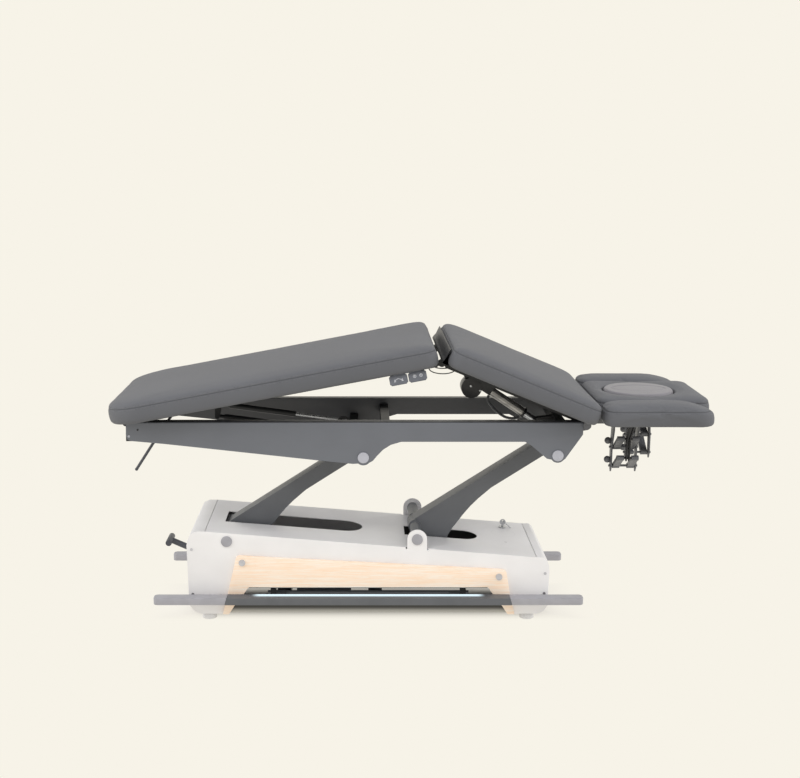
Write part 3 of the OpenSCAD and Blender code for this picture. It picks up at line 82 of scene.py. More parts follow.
class Wire:
    # one socket; + - * / and power build Math nodes
    def __init__(self, finish, socket):
        self.finish, self.socket = finish, socket

    def join(self, operation, other=None, third=None, clamp=False):
        node = self.finish.tree.nodes.new("ShaderNodeMath")
        node.operation = operation
        node.use_clamp = clamp
        for i, v in enumerate((self, other, third)):
            if isinstance(v, Wire):
                self.finish.tree.links.new(v.socket, node.inputs[i])
            elif v is not None:
                node.inputs[i].default_value = v
        return Wire(self.finish, node.outputs[0])

    def turned(self, operation, other):
        node = self.finish.tree.nodes.new("ShaderNodeMath")
        node.operation = operation
        node.inputs[0].default_value = other
        self.finish.tree.links.new(self.socket, node.inputs[1])
        return Wire(self.finish, node.outputs[0])

    def __add__(self, o): return self.join("ADD", o)
    def __radd__(self, o): return self.join("ADD", o)
    def __sub__(self, o): return self.join("SUBTRACT", o)
    def __rsub__(self, o): return self.turned("SUBTRACT", o)
    def __mul__(self, o): return self.join("MULTIPLY", o)
    def __rmul__(self, o): return self.join("MULTIPLY", o)
    def __truediv__(self, o): return self.join("DIVIDE", o)
    def __pow__(self, o): return self.join("POWER", o)
    def __neg__(self): return self.join("MULTIPLY", -1.0)
    def size(self): return self.join("ABSOLUTE")
    def fraction(self): return self.join("FRACT")
    def over(self, edge): return self.join("GREATER_THAN", edge)
    def under(self, edge): return self.join("LESS_THAN", edge)
    def clamped(self): return self.join("ADD", 0.0, clamp=True)

    def ramp(self, low, high):
        # 0 at low, 1 at high, smooth between
        node = self.finish.tree.nodes.new("ShaderNodeMapRange")
        node.interpolation_type = "SMOOTHSTEP"
        node.inputs["From Min"].default_value = low
        node.inputs["From Max"].default_value = high
        self.finish.tree.links.new(self.socket, node.inputs["Value"])
        return Wire(self.finish, node.outputs["Result"])

    def bell(self, width):
        # 1 at zero, falling as a bell curve of that width
        q = self / width
        return (-(q * q)).join("EXPONENT")


class Finish:
    # a material with one Principled shader; fixed values go on its sockets
    def __init__(self, name, **fixed):
        self.material = bpy.data.materials.new(name)
        self.material.use_nodes = True
        self.tree = self.material.node_tree
        self.tree.nodes.clear()
        self.out = self.tree.nodes.new("ShaderNodeOutputMaterial")
        self.shader = self.tree.nodes.new("ShaderNodeBsdfPrincipled")
        self.tree.links.new(self.shader.outputs[0], self.out.inputs["Surface"])
        for k, v in fixed.items():
            self.give(k, v)
        self.object = self.node("ShaderNodeTexCoord").socketNamed("Object")

    def give(self, name, value):
        socket = self.shader.inputs[name.replace("_", " ")]
        if isinstance(value, Wire):
            self.tree.links.new(value.socket, socket)
        elif isinstance(value, str):
            socket.default_value = (*srgb(value), 1)
        else:
            socket.default_value = value

    def node(self, kind, settings=None, **values):
        n = self.tree.nodes.new(kind)
        for k, v in (settings or {}).items():
            setattr(n, k, v)
        for k, v in values.items():
            s = n.inputs[int(k[1:])] if k[0] == "i" and k[1:].isdigit() else n.inputs[k.replace("_", " ")]
            if isinstance(v, Wire):
                self.tree.links.new(v.socket, s)
            else:
                s.default_value = v
        return Made(self, n)

    def colours(self, amount, first, second):
        # first where amount is 0, second where it is 1
        n = self.tree.nodes.new("ShaderNodeMix")
        n.data_type = "RGBA"
        self.tree.links.new(amount.socket, n.inputs["Factor"]) if isinstance(amount, Wire) else None
        if not isinstance(amount, Wire):
            n.inputs["Factor"].default_value = amount
        for i, c in ((6, first), (7, second)):
            if isinstance(c, Wire):
                self.tree.links.new(c.socket, n.inputs[i])
            else:
                n.inputs[i].default_value = (*srgb(c), 1) if isinstance(c, str) else (*c, 1)
        return Wire(self, n.outputs[2])

    def parts(self):
        # object coordinates as three numbers
        n = self.tree.nodes.new("ShaderNodeSeparateXYZ")
        self.tree.links.new(self.object.socket, n.inputs[0])
        return [Wire(self, n.outputs[i]) for i in range(3)]

    def stretched(self, sx, sy, sz):
        m = self.node("ShaderNodeMapping", Scale=(sx, sy, sz))
        self.tree.links.new(self.object.socket, m.made.inputs["Vector"])
        return m.socketNamed("Vector")

    def noise(self, scale, detail=3.0, rough=0.5, vector=None):
        return self.node("ShaderNodeTexNoise", Vector=vector or self.object, Scale=scale, Detail=detail,
                         Roughness=rough).socketNamed(0)

    def cells(self, scale, vector=None, feature="DISTANCE_TO_EDGE"):
        return self.node("ShaderNodeTexVoronoi", {"feature": feature}, Vector=vector or self.object,
                         Scale=scale).socketNamed("Distance")

    def bump(self, height, distance, strength=1.0):
        b = self.node("ShaderNodeBump", Height=height, Distance=distance, Strength=strength)
        self.give("Normal", b.socketNamed("Normal"))

    def attribute(self, name):
        return self.node("ShaderNodeAttribute", {"attribute_name": name}).socketNamed("Fac")


class Made:
    def __init__(self, finish, made):
        self.finish, self.made = finish, made

    def socketNamed(self, name):
        return Wire(self.finish, self.made.outputs[name])


def powderCoat(name, colour, rough=0.5, grain=0.00006, spread=0.06, scale=1100.0):
    # textured powder paint: fine pebbles, faint mottling
    f = Finish(name, IOR=1.46)
    mottle = f.noise(9.0, 4.0)
    light = tuple(min(1, c * (1 + spread)) for c in srgb(colour))
    dark = tuple(c * (1 - spread) for c in srgb(colour))
    f.give("Base Color", f.colours(mottle.ramp(0.3, 0.7), dark, light))
    f.give("Roughness", f.noise(40.0) * 0.1 + (rough - 0.05))
    f.bump(f.noise(scale, 2.0) + f.noise(scale * 0.3, 2.0) * 0.6, grain)
    return f


def mouldedPlastic(name, colour, rough=0.45):
    f = Finish(name, IOR=1.47)
    tone = f.noise(30.0, 3.0)
    dark = tuple(c * 0.93 for c in srgb(colour))
    f.give("Base Color", f.colours(tone.ramp(0.35, 0.65), dark, colour))
    f.give("Roughness", f.noise(220.0) * 0.12 + (rough - 0.06))
    f.bump(f.noise(1500.0, 2.0), 0.00003)
    return f


def brightSteel(name, colour="#c4c6c9", rough=0.3, along=(1, 1, 1)):
    f = Finish(name, Metallic=1.0)
    streak = f.noise(60.0, 4.0, vector=f.stretched(*along))
    f.give("Base Color", f.colours(streak.ramp(0.3, 0.7), tuple(c * 0.82 for c in srgb(colour)), colour))
    f.give("Roughness", streak * 0.2 + (rough - 0.1))
    f.bump(f.noise(500.0, 2.0, vector=f.stretched(*along)), 0.00002)
    return f


def vinyl(name, colour, seam=True, rough=0.46):
    # leather-look vinyl: pebbled grain, slow tone changes, a sewn seam where the mesh carries seamGap and seamRun
    f = Finish(name, IOR=1.2, Sheen_Weight=0.03, Sheen_Roughness=0.5)
    tone = f.noise(5.0, 5.0, 0.6)
    grain = f.cells(620.0)
    fine = f.noise(1400.0, 2.0)
    base = f.colours(tone.ramp(0.3, 0.72), tuple(c * 0.93 for c in srgb(colour)), colour)
    height = grain.ramp(0.0, 0.35) * 0.10 + fine * 0.03
    if seam:
        gap = f.attribute("seamGap")
        run = f.attribute("seamRun")
        crease = gap.bell(0.0012)
        rows = (gap.size() - 0.0052).bell(0.0007)
        dash = (run / 0.0056).fraction().under(0.68)
        stitch = rows * dash
        pucker = rows * (1 - dash)
        # the seam's crease and the puckers between stitches are darkened here: painted shade
        base = f.colours((crease * 0.55 + pucker * 0.3).clamped(), base, tuple(c * 0.35 for c in srgb(colour)))
        base = f.colours(stitch * 0.5, base, tuple(min(1, c * 1.35) for c in srgb(colour)))
        height = height - crease * 1.2 - pucker * 0.35 + stitch * 0.5
    f.give("Base Color", base)
    f.give("Roughness", tone * 0.12 + fine * 0.06 + (rough - 0.09))
    f.bump(height, 0.0009)
    return f


# meshes
def meshFrom(name, points, faces, smooth=True, material=None):
    me = bpy.data.meshes.new(name)
    me.from_pydata([tuple(p) for p in np.asarray(points, float)], [], [tuple(int(i) for i in f) for f in faces])
    me.validate()
    me.polygons.foreach_set("use_smooth", [smooth] * len(me.polygons))
    o = bpy.data.objects.new(name, me)
    bpy.context.collection.objects.link(o)
    if material:
        me.materials.append(material)
    return o


def outward(o):
    bm = bmesh.new()
    bm.from_mesh(o.data)
    bmesh.ops.remove_doubles(bm, verts=bm.verts, dist=1e-6)
    bmesh.ops.recalc_face_normals(bm, faces=bm.faces)
    bm.to_mesh(o.data)
    bm.free()
    return o


def ringQuads(rows, cols, wrapRows=False):
    # quads between neighbouring rings of a grid that closes along its columns
    r = np.arange(rows if wrapRows else rows - 1)[:, None] * cols
    c = np.arange(cols)[None, :]
    n = (c + 1) % cols
    up = (r + cols) % (rows * cols)
    return np.stack([r + c, r + n, up + n, up + c], axis=-1).reshape(-1, 4).tolist()


def ringBody(name, rings, material=None, wrap=False):
    # rings of points joined in order; the first and last are closed with a fan unless the body wraps round
    m, n = rings.shape[:2]
    points = rings.reshape(-1, 3)
    faces = ringQuads(m, n, wrap)
    if not wrap:
        points = np.vstack([points, rings[0].mean(0), rings[-1].mean(0)])
        k = np.arange(n)
        faces += np.stack([(k + 1) % n, k, np.full(n, m * n)], 1).tolist()
        faces += np.stack([(m - 1) * n + k, (m - 1) * n + (k + 1) % n, np.full(n, m * n + 1)], 1).tolist()
    return outward(meshFrom(name, points, faces, material=material))


def roundedPlan(x0, x1, half, radii, step=0.009):
    # outline of a rectangle whose four corners are quarter circles, in even steps
    # radii for (x1,+), (x0,+), (x0,-), (x1,-)
    if not hasattr(radii, "__len__"):
        radii = [radii] * 4
    y0, y1 = (-half, half) if not hasattr(half, "__len__") else half
    centres = [(x1 - radii[0], y1 - radii[0], radii[0], 0), (x0 + radii[1], y1 - radii[1], radii[1], 90),
               (x0 + radii[2], y0 + radii[2], radii[2], 180), (x1 - radii[3], y0 + radii[3], radii[3], 270)]
    dense = []
    for cx, cy, r, a in centres:
        t = np.radians(a + np.linspace(0, 90, 31))
        dense.append(np.stack([cx + r * np.cos(t), cy + r * np.sin(t)], 1))
    dense = np.vstack(dense + [dense[0][:1]])
    return evened(dense, step)


def evened(line, step):
    # the same closed line with points at even steps along it
    s = np.concatenate([[0], np.cumsum(np.linalg.norm(np.diff(line, axis=0), axis=1))])
    n = max(24, int(round(s[-1] / step)))
    t = np.linspace(0, s[-1], n, endpoint=False)
    return np.stack([np.interp(t, s, line[:, k]) for k in range(line.shape[1])], 1)


def drawnIn(plan, d):
    # moves every point of an anticlockwise outline inwards by d along its normal
    t = np.roll(plan, -1, 0) - np.roll(plan, 1, 0)
    t /= np.linalg.norm(t, axis=1)[:, None]
    return plan - d * np.stack([t[:, 1], -t[:, 0]], 1)


# side of a pad: how far it is drawn in and how high it stands, in shares of the pad's height
padSide = np.array([[0.22, 0.0], [0.10, 0.012], [0.035, 0.07], [0.008, 0.17], [0.0, 0.30], [0.0, 0.42],
                    [0.008, 0.54], [0.022, 0.62], [0.030, 0.655], [0.034, 0.70], [0.055, 0.78], [0.10, 0.86], [0.17, 0.925],
                    [0.27, 0.968], [0.40, 0.992]])
padCrown = np.array([[0.93, 0.2], [0.84, 0.42], [0.72, 0.62], [0.58, 0.79], [0.42, 0.91], [0.24, 0.98], [0.1, 1.0]])


def padRings(plan, z0, h, crown, inset=0.0):
    base = drawnIn(plan, inset)
    rings = [np.column_stack([drawnIn(base, s * h), np.full(len(base), z0 + v * h)]) for s, v in padSide]
    rim = rings[-1]
    mid = (rim[:, :2].max(0) + rim[:, :2].min(0)) / 2
    for s, v in padCrown:
        rings.append(np.column_stack([mid + (rim[:, :2] - mid) * s, np.full(len(base), rim[0, 2] + crown * v)]))
    return np.array(rings)


def evaluated(o):
    return bpy.data.meshes.new_from_object(o.evaluated_get(bpy.context.evaluated_depsgraph_get()))


def swapMesh(o, mesh):
    old = o.data
    mesh.name = o.name
    o.modifiers.clear()
    o.data = mesh
    bpy.data.meshes.remove(old)


def pointsOf(mesh):
    p = np.empty(len(mesh.vertices) * 3)
    mesh.vertices.foreach_get("co", p)
    return p.reshape(-1, 3)


def stuffed(o, spec):
    # even mesh, then cloth under pressure whose travel is capped, then one subdivision
    m = o.modifiers.new("even", "REMESH")
    m.mode = "VOXEL"
    m.voxel_size = spec["voxel"]
    m.use_smooth_shade = True
    swapMesh(o, evaluated(o))
    rest = pointsOf(o.data)
    c = o.modifiers.new("cloth", "CLOTH")
    c.settings.quality = 4
    c.settings.mass = 0.25
    c.settings.tension_stiffness = c.settings.compression_stiffness = 18
    c.settings.bending_stiffness = 1.5
    c.settings.use_pressure = True
    c.settings.uniform_pressure_force = spec["pressure"]
    c.settings.effector_weights.gravity = 0
    c.point_cache.frame_start, c.point_cache.frame_end = 1, 20
    for k in range(1, 21):
        bpy.context.scene.frame_set(k)
    swollen = evaluated(o)
    moved = pointsOf(swollen) - rest
    bpy.context.scene.frame_set(1)
    size = np.linalg.norm(moved, axis=1)
    moved *= np.minimum(1, spec["cap"] / np.maximum(size, 1e-9))[:, None]
    moved[:, 2] = np.where(rest[:, 2] < spec["floor"] + 0.006, 0, moved[:, 2])
    swapMesh(o, swollen)
    o.data.vertices.foreach_set("co", (rest + moved).ravel())
    s = o.modifiers.new("smooth", "SUBSURF")
    s.levels = s.render_levels = 1
    swapMesh(o, evaluated(o))
    o.data.polygons.foreach_set("use_smooth", [True] * len(o.data.polygons))


def sewn(o, plan, seamZ, keepFrom=None):
    # writes each point's height over the seam and its way along it, and presses the seam in a little
    p = pointsOf(o.data)
    line = np.vstack([plan, plan[:1]])
    way = np.concatenate([[0], np.cumsum(np.linalg.norm(np.diff(line, axis=0), axis=1))])[:-1]
    halves = np.array_split(p, 40)
    nearest = np.concatenate([((q[:, None, :2] - plan[None]) ** 2).sum(-1).argmin(1) for q in halves])
    run = way[nearest]
    side = np.linalg.norm(p[:, :2] - plan[nearest], axis=1) < 0.03
    if keepFrom is not None:
        side &= np.linalg.norm(p[:, :2] - np.array(keepFrom[:2]), axis=1) > keepFrom[2]
    gap = np.where(side, p[:, 2] - seamZ, 1.0)
    mid = plan.mean(0)
    inward = np.column_stack([mid[0] - p[:, 0], mid[1] - p[:, 1], np.zeros(len(p))])
    inward /= np.maximum(np.linalg.norm(inward, axis=1), 1e-9)[:, None]
    p += inward * (0.0012 * np.exp(-(gap / 0.0035) ** 2))[:, None]
    o.data.vertices.foreach_set("co", p.ravel())
    for key, values in (("seamGap", gap), ("seamRun", run)):
        a = o.data.attributes.new(key, "FLOAT", "POINT")
        a.data.foreach_set("value", values.astype(np.float32))


def finishPad(o, origin, tilt, body, nodes, material):
    if origin is not None:
        o.data.vertices.foreach_set("co", placed(pointsOf(o.data), origin, tilt).ravel())
    else:
        o.data.vertices.foreach_set("co", toRow(pointsOf(o.data)).ravel())
    o.data.update()
    o.data.materials.clear()
    o.data.materials.append(material.material)
    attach(o, body)
    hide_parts(*nodes)
    print("pad", o.name, len(o.data.polygons), "faces")
    return o


def softened(node, width, material, segments=3, angle=32.0):
    # a copy of a solid whose sharp edges are rounded; it stands for the solid
    source = frame["nodes"][node]
    bm = bmesh.new()
    bm.from_mesh(source.data)
    bmesh.ops.remove_doubles(bm, verts=bm.verts, dist=1e-6)
    bmesh.ops.dissolve_limit(bm, angle_limit=math.radians(0.6), verts=bm.verts, edges=bm.edges)
    me = bpy.data.meshes.new(node + "Soft")
    bm.to_mesh(me)
    bm.free()
    o = bpy.data.objects.new(node + "Soft", me)
    bpy.context.collection.objects.link(o)
    b = o.modifiers.new("edges", "BEVEL")
    b.width = width
    b.segments = segments
    b.limit_method = "ANGLE"
    b.angle_limit = math.radians(angle)
    b.use_clamp_overlap = True
    b.harden_normals = True
    me.polygons.foreach_set("use_smooth", [True] * len(me.polygons))
    me.materials.clear()
    me.materials.append(material.material)
    body = frame["record"]["behaviour"]["bodies"]
    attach(o, next(k for k, v in body.items() if node in v))
    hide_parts(node)
    next(s["material_slot"] for s in frame["record"]["subparts"] if s["node"] == node)
    return o


def dress(node, material):
    o = frame["nodes"][node]
    o.data.materials.clear()
    o.data.materials.append(material.material)
    return o


def tube(name, path, radius, sides=10, material=None):
    # a circle carried along the path, turned with it; radius may change from point to point
    path = np.asarray(path, float)
    t = np.gradient(path, axis=0)
    t /= np.linalg.norm(t, axis=1)[:, None]
    side = np.cross(t, [0, 1, 0.001])
    side /= np.linalg.norm(side, axis=1)[:, None]
    up = np.cross(side, t)
    a = np.linspace(0, 2 * np.pi, sides, endpoint=False)
    r = np.broadcast_to(np.asarray(radius, float), (len(path),))[:, None, None]
    out = side[:, None] * np.cos(a)[None, :, None] + up[:, None] * np.sin(a)[None, :, None]
    rings = path[:, None] + r * out
    return ringBody(name, rings, material=material)


def turnedBody(name, profile, centre, axis="z", sides=64, material=None):
    # a profile of (radius, height) pairs turned round an axis through centre
    prof = np.asarray(profile, float)
    a = np.linspace(0, 2 * np.pi, sides, endpoint=False)
    r, h = prof[:, 0, None], prof[:, 1, None]
    flat = np.stack([r * np.cos(a), r * np.sin(a), np.broadcast_to(h, (len(prof), sides))], -1)
    if axis == "y":
        flat = flat[..., [0, 2, 1]] * [1, -1, 1]
    return ringBody(name, flat + np.asarray(centre, float), material=material)

# upholstery
padVinyl = vinyl("padVinyl", "#65666a", rough=0.58)
plugVinyl = vinyl("plugVinyl", "#858387", seam=False, rough=0.4)

pads = {
    "leg": {"x": (-1.132, -0.011), "z": 0.0164, "height": 0.0706, "crown": 0.008,
            "corner": (0.042, 0.13, 0.13, 0.042), "step": 0.010,
            "voxel": 0.009, "pressure": 4.0, "cap": 0.005, "seam": 0.0530, "grow": 0.003},
    "mid": {"x": (-0.525, 0.014), "z": 0.0164, "height": 0.0706, "crown": 0.008, "corner": 0.042, "step": 0.009,
            "voxel": 0.008, "pressure": 4.0, "cap": 0.005, "seam": 0.0530, "grow": 0.003},
    "head": {"x": (0.774, 1.163), "half": 0.183, "z": 0.7124, "height": 0.0666, "crown": 0.004, "corner": 0.042,
             "hole": (0.950, 0.0, 0.1245), "voxel": 0.006, "pressure": 3.0, "cap": 0.003, "seam": 0.051},
    "rest": {"x": (0.774, 1.144), "y": (0.186, 0.333), "z": 0.7124, "height": 0.0666, "crown": 0.005,
             "corners": (0.056, 0.044, 0.056, 0.082), "step": 0.006, "voxel": 0.005, "pressure": 3.0, "cap": 0.004,
             "seam": 0.051, "fallFrom": 1.0, "fall": 0.26},
}


def boxPad(name, key, half, radii, origin, tilt, body, node):
    q = pads[key]
    plan = roundedPlan(*q["x"], half, radii, q["step"])
    rings = padRings(plan, q["z"], q["height"], q["crown"], -q.get("grow", 0))
    if "fall" in q:  # the top falls away towards the far end, as the square of the way there
        far = np.clip((rings[..., 0] - q["fallFrom"]) / (q["x"][1] - q["fallFrom"]), 0, 1) ** 2
        rings[..., 2] = q["z"] + (rings[..., 2] - q["z"]) * (1 - q["fall"] * far)
    o = ringBody(name, rings)
    q["floor"] = q["z"]
    stuffed(o, q)
    sewn(o, plan, q["z"] + q["seam"])
    return finishPad(o, origin, tilt, body, [node], padVinyl)


boxPad("legPad", "leg", 0.334, pads["leg"]["corner"], peakPoint, legTilt, "leg_section", "leg_cushion")
boxPad("midPad", "mid", 0.334, pads["mid"]["corner"], hingePoint, midTilt, "mid_section", "mid_cushion")
c = pads["rest"]["corners"]
y0, y1 = pads["rest"]["y"]
boxPad("farRest", "rest", (y0, y1), c, None, 0, "rest_f", "armrest_far")
boxPad("nearRest", "rest", (-y1, -y0), (c[3], c[2], c[1], c[0]), None, 0, "rest_n", "armrest_near")


def holedPad(name, q):
    # a pad round a hole: rings run up the outside, over the top and down the hole
    hx, hy, hr = q["hole"]
    plan = roundedPlan(*q["x"], q["half"], q["corner"], 0.002)
    angle = np.arctan2(plan[:, 1] - hy, plan[:, 0] - hx)
    order = np.argsort(angle)
    theta = np.linspace(-np.pi, np.pi, 200, endpoint=False)
    reach = np.interp(theta, angle[order], np.linalg.norm(plan[order] - [hx, hy], axis=1), period=2 * np.pi)
    way = np.stack([np.cos(theta), np.sin(theta)], 1)
    outer = [hx, hy] + way * reach[:, None]
    h, z0, crown = q["height"], q["z"], q["crown"]
    rings = []

    def ring(flat, z):
        rings.append(np.column_stack([flat, np.full(len(flat), z)]))
    for s, v in padSide:
        ring(drawnIn(outer, s * h), z0 + v * h)
    rim = rings[-1][:, :2]
    lip = [hx, hy] + way * (hr + 0.006)
    for t in (0.2, 0.4, 0.6, 0.8, 1.0):
        ring(rim + (lip - rim) * t, rings[0][0, 2] + 0.992 * h + crown * math.sin(math.pi * (0.15 + 0.5 * t)))
    top = rings[-1][0, 2]
    for r, drop in ((0.003, 0.0012), (0.001, 0.003), (0.0, 0.006), (0.0, 0.03), (0.0, h)):
        ring([hx, hy] + way * (hr + r), max(z0, top - drop))
    return ringBody(name, np.array(rings), wrap=True), plan[::4]


headPad, headPlan = holedPad("headPad", pads["head"])
pads["head"]["floor"] = pads["head"]["z"]
stuffed(headPad, pads["head"])
sewn(headPad, headPlan, pads["head"]["z"] + pads["head"]["seam"], keepFrom=(0.950, 0.0, 0.135))
finishPad(headPad, None, 0, "head_section", ["head_cushion"], padVinyl)


def facePlug():
    # a round pad with an oval panel let into its top
    side = [(0.0, 0.7228), (0.114, 0.7228), (0.1185, 0.7245), (0.1205, 0.729), (0.121, 0.738), (0.121, 0.762),
            (0.1207, 0.771), (0.1196, 0.7765), (0.1174, 0.7808), (0.1145, 0.7832)]
    top = [(r, 0.7832 + 0.0035 * (1 - (r / 0.1145) ** 2)) for r in np.linspace(0.113, 0.002, 56)]
    sides = 180
    prof = np.array(side[1:] + top)
    a = np.linspace(0, 2 * np.pi, sides, endpoint=False)
    rings = np.stack([0.950 + prof[:, :1] * np.cos(a), prof[:, :1] * np.sin(a),
                      np.broadcast_to(prof[:, 1:], (len(prof), sides))], -1)
    x, y = rings[..., 0] - 0.950, rings[..., 1]
    oval = np.sqrt((x / 0.093) ** 2 + (y / 0.052) ** 2)
    onTop = (rings[..., 2] > 0.7831) & (np.hypot(x, y) < 0.113)
    groove = 0.0022 * np.exp(-((oval - 1) / 0.03) ** 2) + 0.0008 / (1 + np.exp((oval - 1) / 0.02))
    rings[..., 2] -= np.where(onTop, groove, 0)
    o = ringBody("facePad", rings)
    o.data.vertices.foreach_set("co", toRow(pointsOf(o.data)).ravel())
    o.data.update()
    o.data.materials.append(plugVinyl.material)
    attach(o, "plug")
    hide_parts("face_plug")
    return o


facePlug()
print("upholstery done")


# small soft parts
def closedStrip(path, thick):
    # outline of a strip of even thickness round an open path in x and z
    path = np.asarray(path, float)
    t = np.gradient(path, axis=0)
    t /= np.linalg.norm(t, axis=1)[:, None]
    n = np.stack([-t[:, 1], t[:, 0]], 1) * thick / 2
    return np.vstack([path + n, (path - n)[::-1]])


flap = {"half": 0.284, "thick": 0.0011, "place": -0.5275}


def foldedFlap():
    # a doubled black vinyl flap: its foot lies under the middle section's board, its leaf stands in the gap
    path = [(0.013, 0.0150), (0.000, 0.0148), (-0.0095, 0.0150), (-0.0112, 0.0178), (-0.0102, 0.0225),
            (-0.0062, 0.029), (-0.0046, 0.038), (-0.0044, 0.048), (-0.0040, 0.056), (-0.0036, 0.0625),
            (-0.0031, 0.0665), (-0.0024, 0.0682), (-0.0017, 0.0665), (-0.0017, 0.060), (-0.0018, 0.052), (-0.0020, 0.046)]
    path = np.array(path)
    s = np.linspace(0, len(path) - 1, 46)
    k = np.arange(len(path))
    path = np.stack([np.interp(s, k, path[:, 0]), np.interp(s, k, path[:, 1])], 1)
    for _ in range(2):
        path[1:-1] = (path[:-2] + 2 * path[1:-1] + path[2:]) / 4
    outline = closedStrip(path, flap["thick"])
    stations = np.linspace(-flap["half"], flap["half"], 150)
    rings = []
    for y in stations:
        high = np.clip((outline[:, 1] - 0.02) / 0.055, 0, 1)
        sway = 0.0004 * np.sin(y * 17 + 0.6) * high + 0.0002 * np.sin(y * 61) * high ** 2
        sag = 0.0012 * np.sin(y * 9 + 1.7) * high ** 2
        rings.append(np.stack([outline[:, 0] + sway, np.full(len(outline), y), outline[:, 1] - np.abs(sag)], 1))
    pts = np.array(rings)
    pts[..., 0] += flap["place"]
    o = ringBody("flap", pts)
    o.data.vertices.foreach_set("co", placed(pointsOf(o.data), hingePoint, midTilt).ravel())
    o.data.update()
    f = Finish("flapVinyl", IOR=1.5)
    tone = f.noise(14.0, 3.0)
    f.give("Base Color", f.colours(tone.ramp(0.3, 0.7), "#1b1c1f", "#26272b"))
    f.give("Roughness", tone * 0.1 + 0.36)
    f.bump(f.cells(900.0), 0.00008)
    o.data.materials.append(f.material)
    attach(o, "mid_section")
    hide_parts("gap_flap")
    return o


foldedFlap()
blackRubber = mouldedPlastic("blackRubber", "#161719", 0.42)


def hangingCable(name, left, right, dip, y, diameter):
    # a cable that hangs between the two boards; left and right are points in x and z
    (x0, z0), (x1, z1) = left, right
    t = np.linspace(0, 1, 60)
    path = np.stack([x0 + (x1 - x0) * (0.5 - 0.5 * np.cos(np.pi * t)), y + 0.004 * np.sin(np.pi * t),
                     z0 + (z1 - z0) * t - dip * np.sin(np.pi * t) ** 0.8], 1)
    line = toRow(path)
    o = tube(name, line, diameter / 2, 12, blackRubber.material)
    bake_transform(o)
    return o


def padIcons(u, v):
    # a plain mark from distances in the plane of the key: an arrow in a ring
    ring = ((u * u + v * v) ** 0.5 - 0.0046).bell(0.0007)
    shaft = u.size().bell(0.0006) * v.size().under(0.0026)
    head = (u.size() + (v - 0.0012).size() * 1.0 - 0.0014).bell(0.0006)
    return (ring + shaft + head).clamped()


def keyPanel():
    # two keypads side by side on a holder under the long board, tilted out to the front
    e = (0.0600, 0.0100, 0.0340)
    parts = []
    for k, x in enumerate((-0.153, -0.090)):
        bm = bmesh.new()
        bmesh.ops.create_cube(bm, size=1.0)
        for v in bm.verts:
            v.co = Vector((v.co.x * e[0], v.co.y * e[1], v.co.z * e[2]))
        deep = [g for g in bm.edges if abs((g.verts[0].co - g.verts[1].co).y) > 0.005]
        bmesh.ops.bevel(bm, geom=deep, offset=0.004, segments=5, affect="EDGES")
        bmesh.ops.bevel(bm, geom=[g for g in bm.edges if g.calc_face_angle(0) > 0.9], offset=0.0012, segments=3,
                        affect="EDGES")
        uv = bm.loops.layers.uv.new("panel")
        for face in bm.faces:
            for loop in face.loops:
                co = loop.vert.co
                front = face.normal.y < -0.7
                loop[uv].uv = (co.x + 0.1 * k, co.z) if front else (5.0, 5.0)
        a = math.radians(-20)
        for v in bm.verts:
            y, z = v.co.y, v.co.z
            v.co = Vector((v.co.x + x, y * math.cos(a) - z * math.sin(a) - 0.309,
                           y * math.sin(a) + z * math.cos(a) - 0.003))
        me = bpy.data.meshes.new("keys")
        bm.to_mesh(me)
        bm.free()
        parts.append(me)
    bm = bmesh.new()
    for me in parts:
        bm.from_mesh(me)
    holder = bmesh.ops.create_cube(bm, size=1.0)["verts"]
    for v in holder:
        v.co = Vector((-0.1215 + v.co.x * 0.093, -0.294 + v.co.y * 0.030, 0.0145 + v.co.z * 0.003))
    me = bpy.data.meshes.new("keyPanel")
    bm.to_mesh(me)
    bm.free()
    for p in parts:
        bpy.data.meshes.remove(p)
    o = bpy.data.objects.new("keyPanel", me)
    bpy.context.collection.objects.link(o)
    o.data.vertices.foreach_set("co", placed(pointsOf(o.data), peakPoint, legTilt).ravel())
    o.data.update()
    f = Finish("keyFace", IOR=1.48)
    place = f.node("ShaderNodeUVMap", {"uv_map": "panel"}).socketNamed("UV")
    n = f.tree.nodes.new("ShaderNodeSeparateXYZ")
    f.tree.links.new(place.socket, n.inputs[0])
    u, v = Wire(f, n.outputs[0]), Wire(f, n.outputs[1])
    # left pad: a bent line for the two sections, with marks at its ends; right pad: two rings with arrows
    line = (v + (u + 0.001).size() * 0.45 - 0.0035).bell(0.0008) * u.size().under(0.013)
    foot = (v + 0.0055).bell(0.0008) * (u.size() - 0.0125).size().under(0.0035)
    stem = (u.size() - 0.0125).bell(0.0008) * (v + 0.002).size().under(0.004)
    left = (line + foot + stem).clamped()
    right = padIcons(u - 0.0905, v - 0.001) + padIcons(u - 0.1115, v - 0.001)
    marks = (left * u.under(0.05) + right * u.over(0.05) * u.under(1.0)).clamped()
    rim = ((v.size() - 0.0145).over(0.0) * v.size().under(1.0)).clamped()
    body = f.colours(f.noise(60.0).ramp(0.3, 0.7), "#5d6068", "#646770")
    f.give("Base Color", f.colours(marks * 0.85, body, "#e9eaee"))
    f.give("Roughness", f.noise(90.0) * 0.1 + 0.38)
    f.bump(marks * -0.4 + f.noise(900.0) * 0.1 - rim * 0.3, 0.0003)
    me.materials.append(f.material)
    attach(o, "leg_section")
    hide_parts("keypads")
    return o


keyPanel()
print("small soft parts done")

hangingCable("cableLong", (0.1965, 0.9085), (0.2835, 0.9045), 0.0215, -0.288, 0.0036)
hangingCable("cableShort", (0.2125, 0.9115), (0.2700, 0.9095), 0.0100, -0.276, 0.0034)


# hard parts
def topOf(x):
    # height of the casing's sloping top at x, in the row frame
    return 0.321 - (x - (baseX - 0.560)) * (0.092 / 1.139)


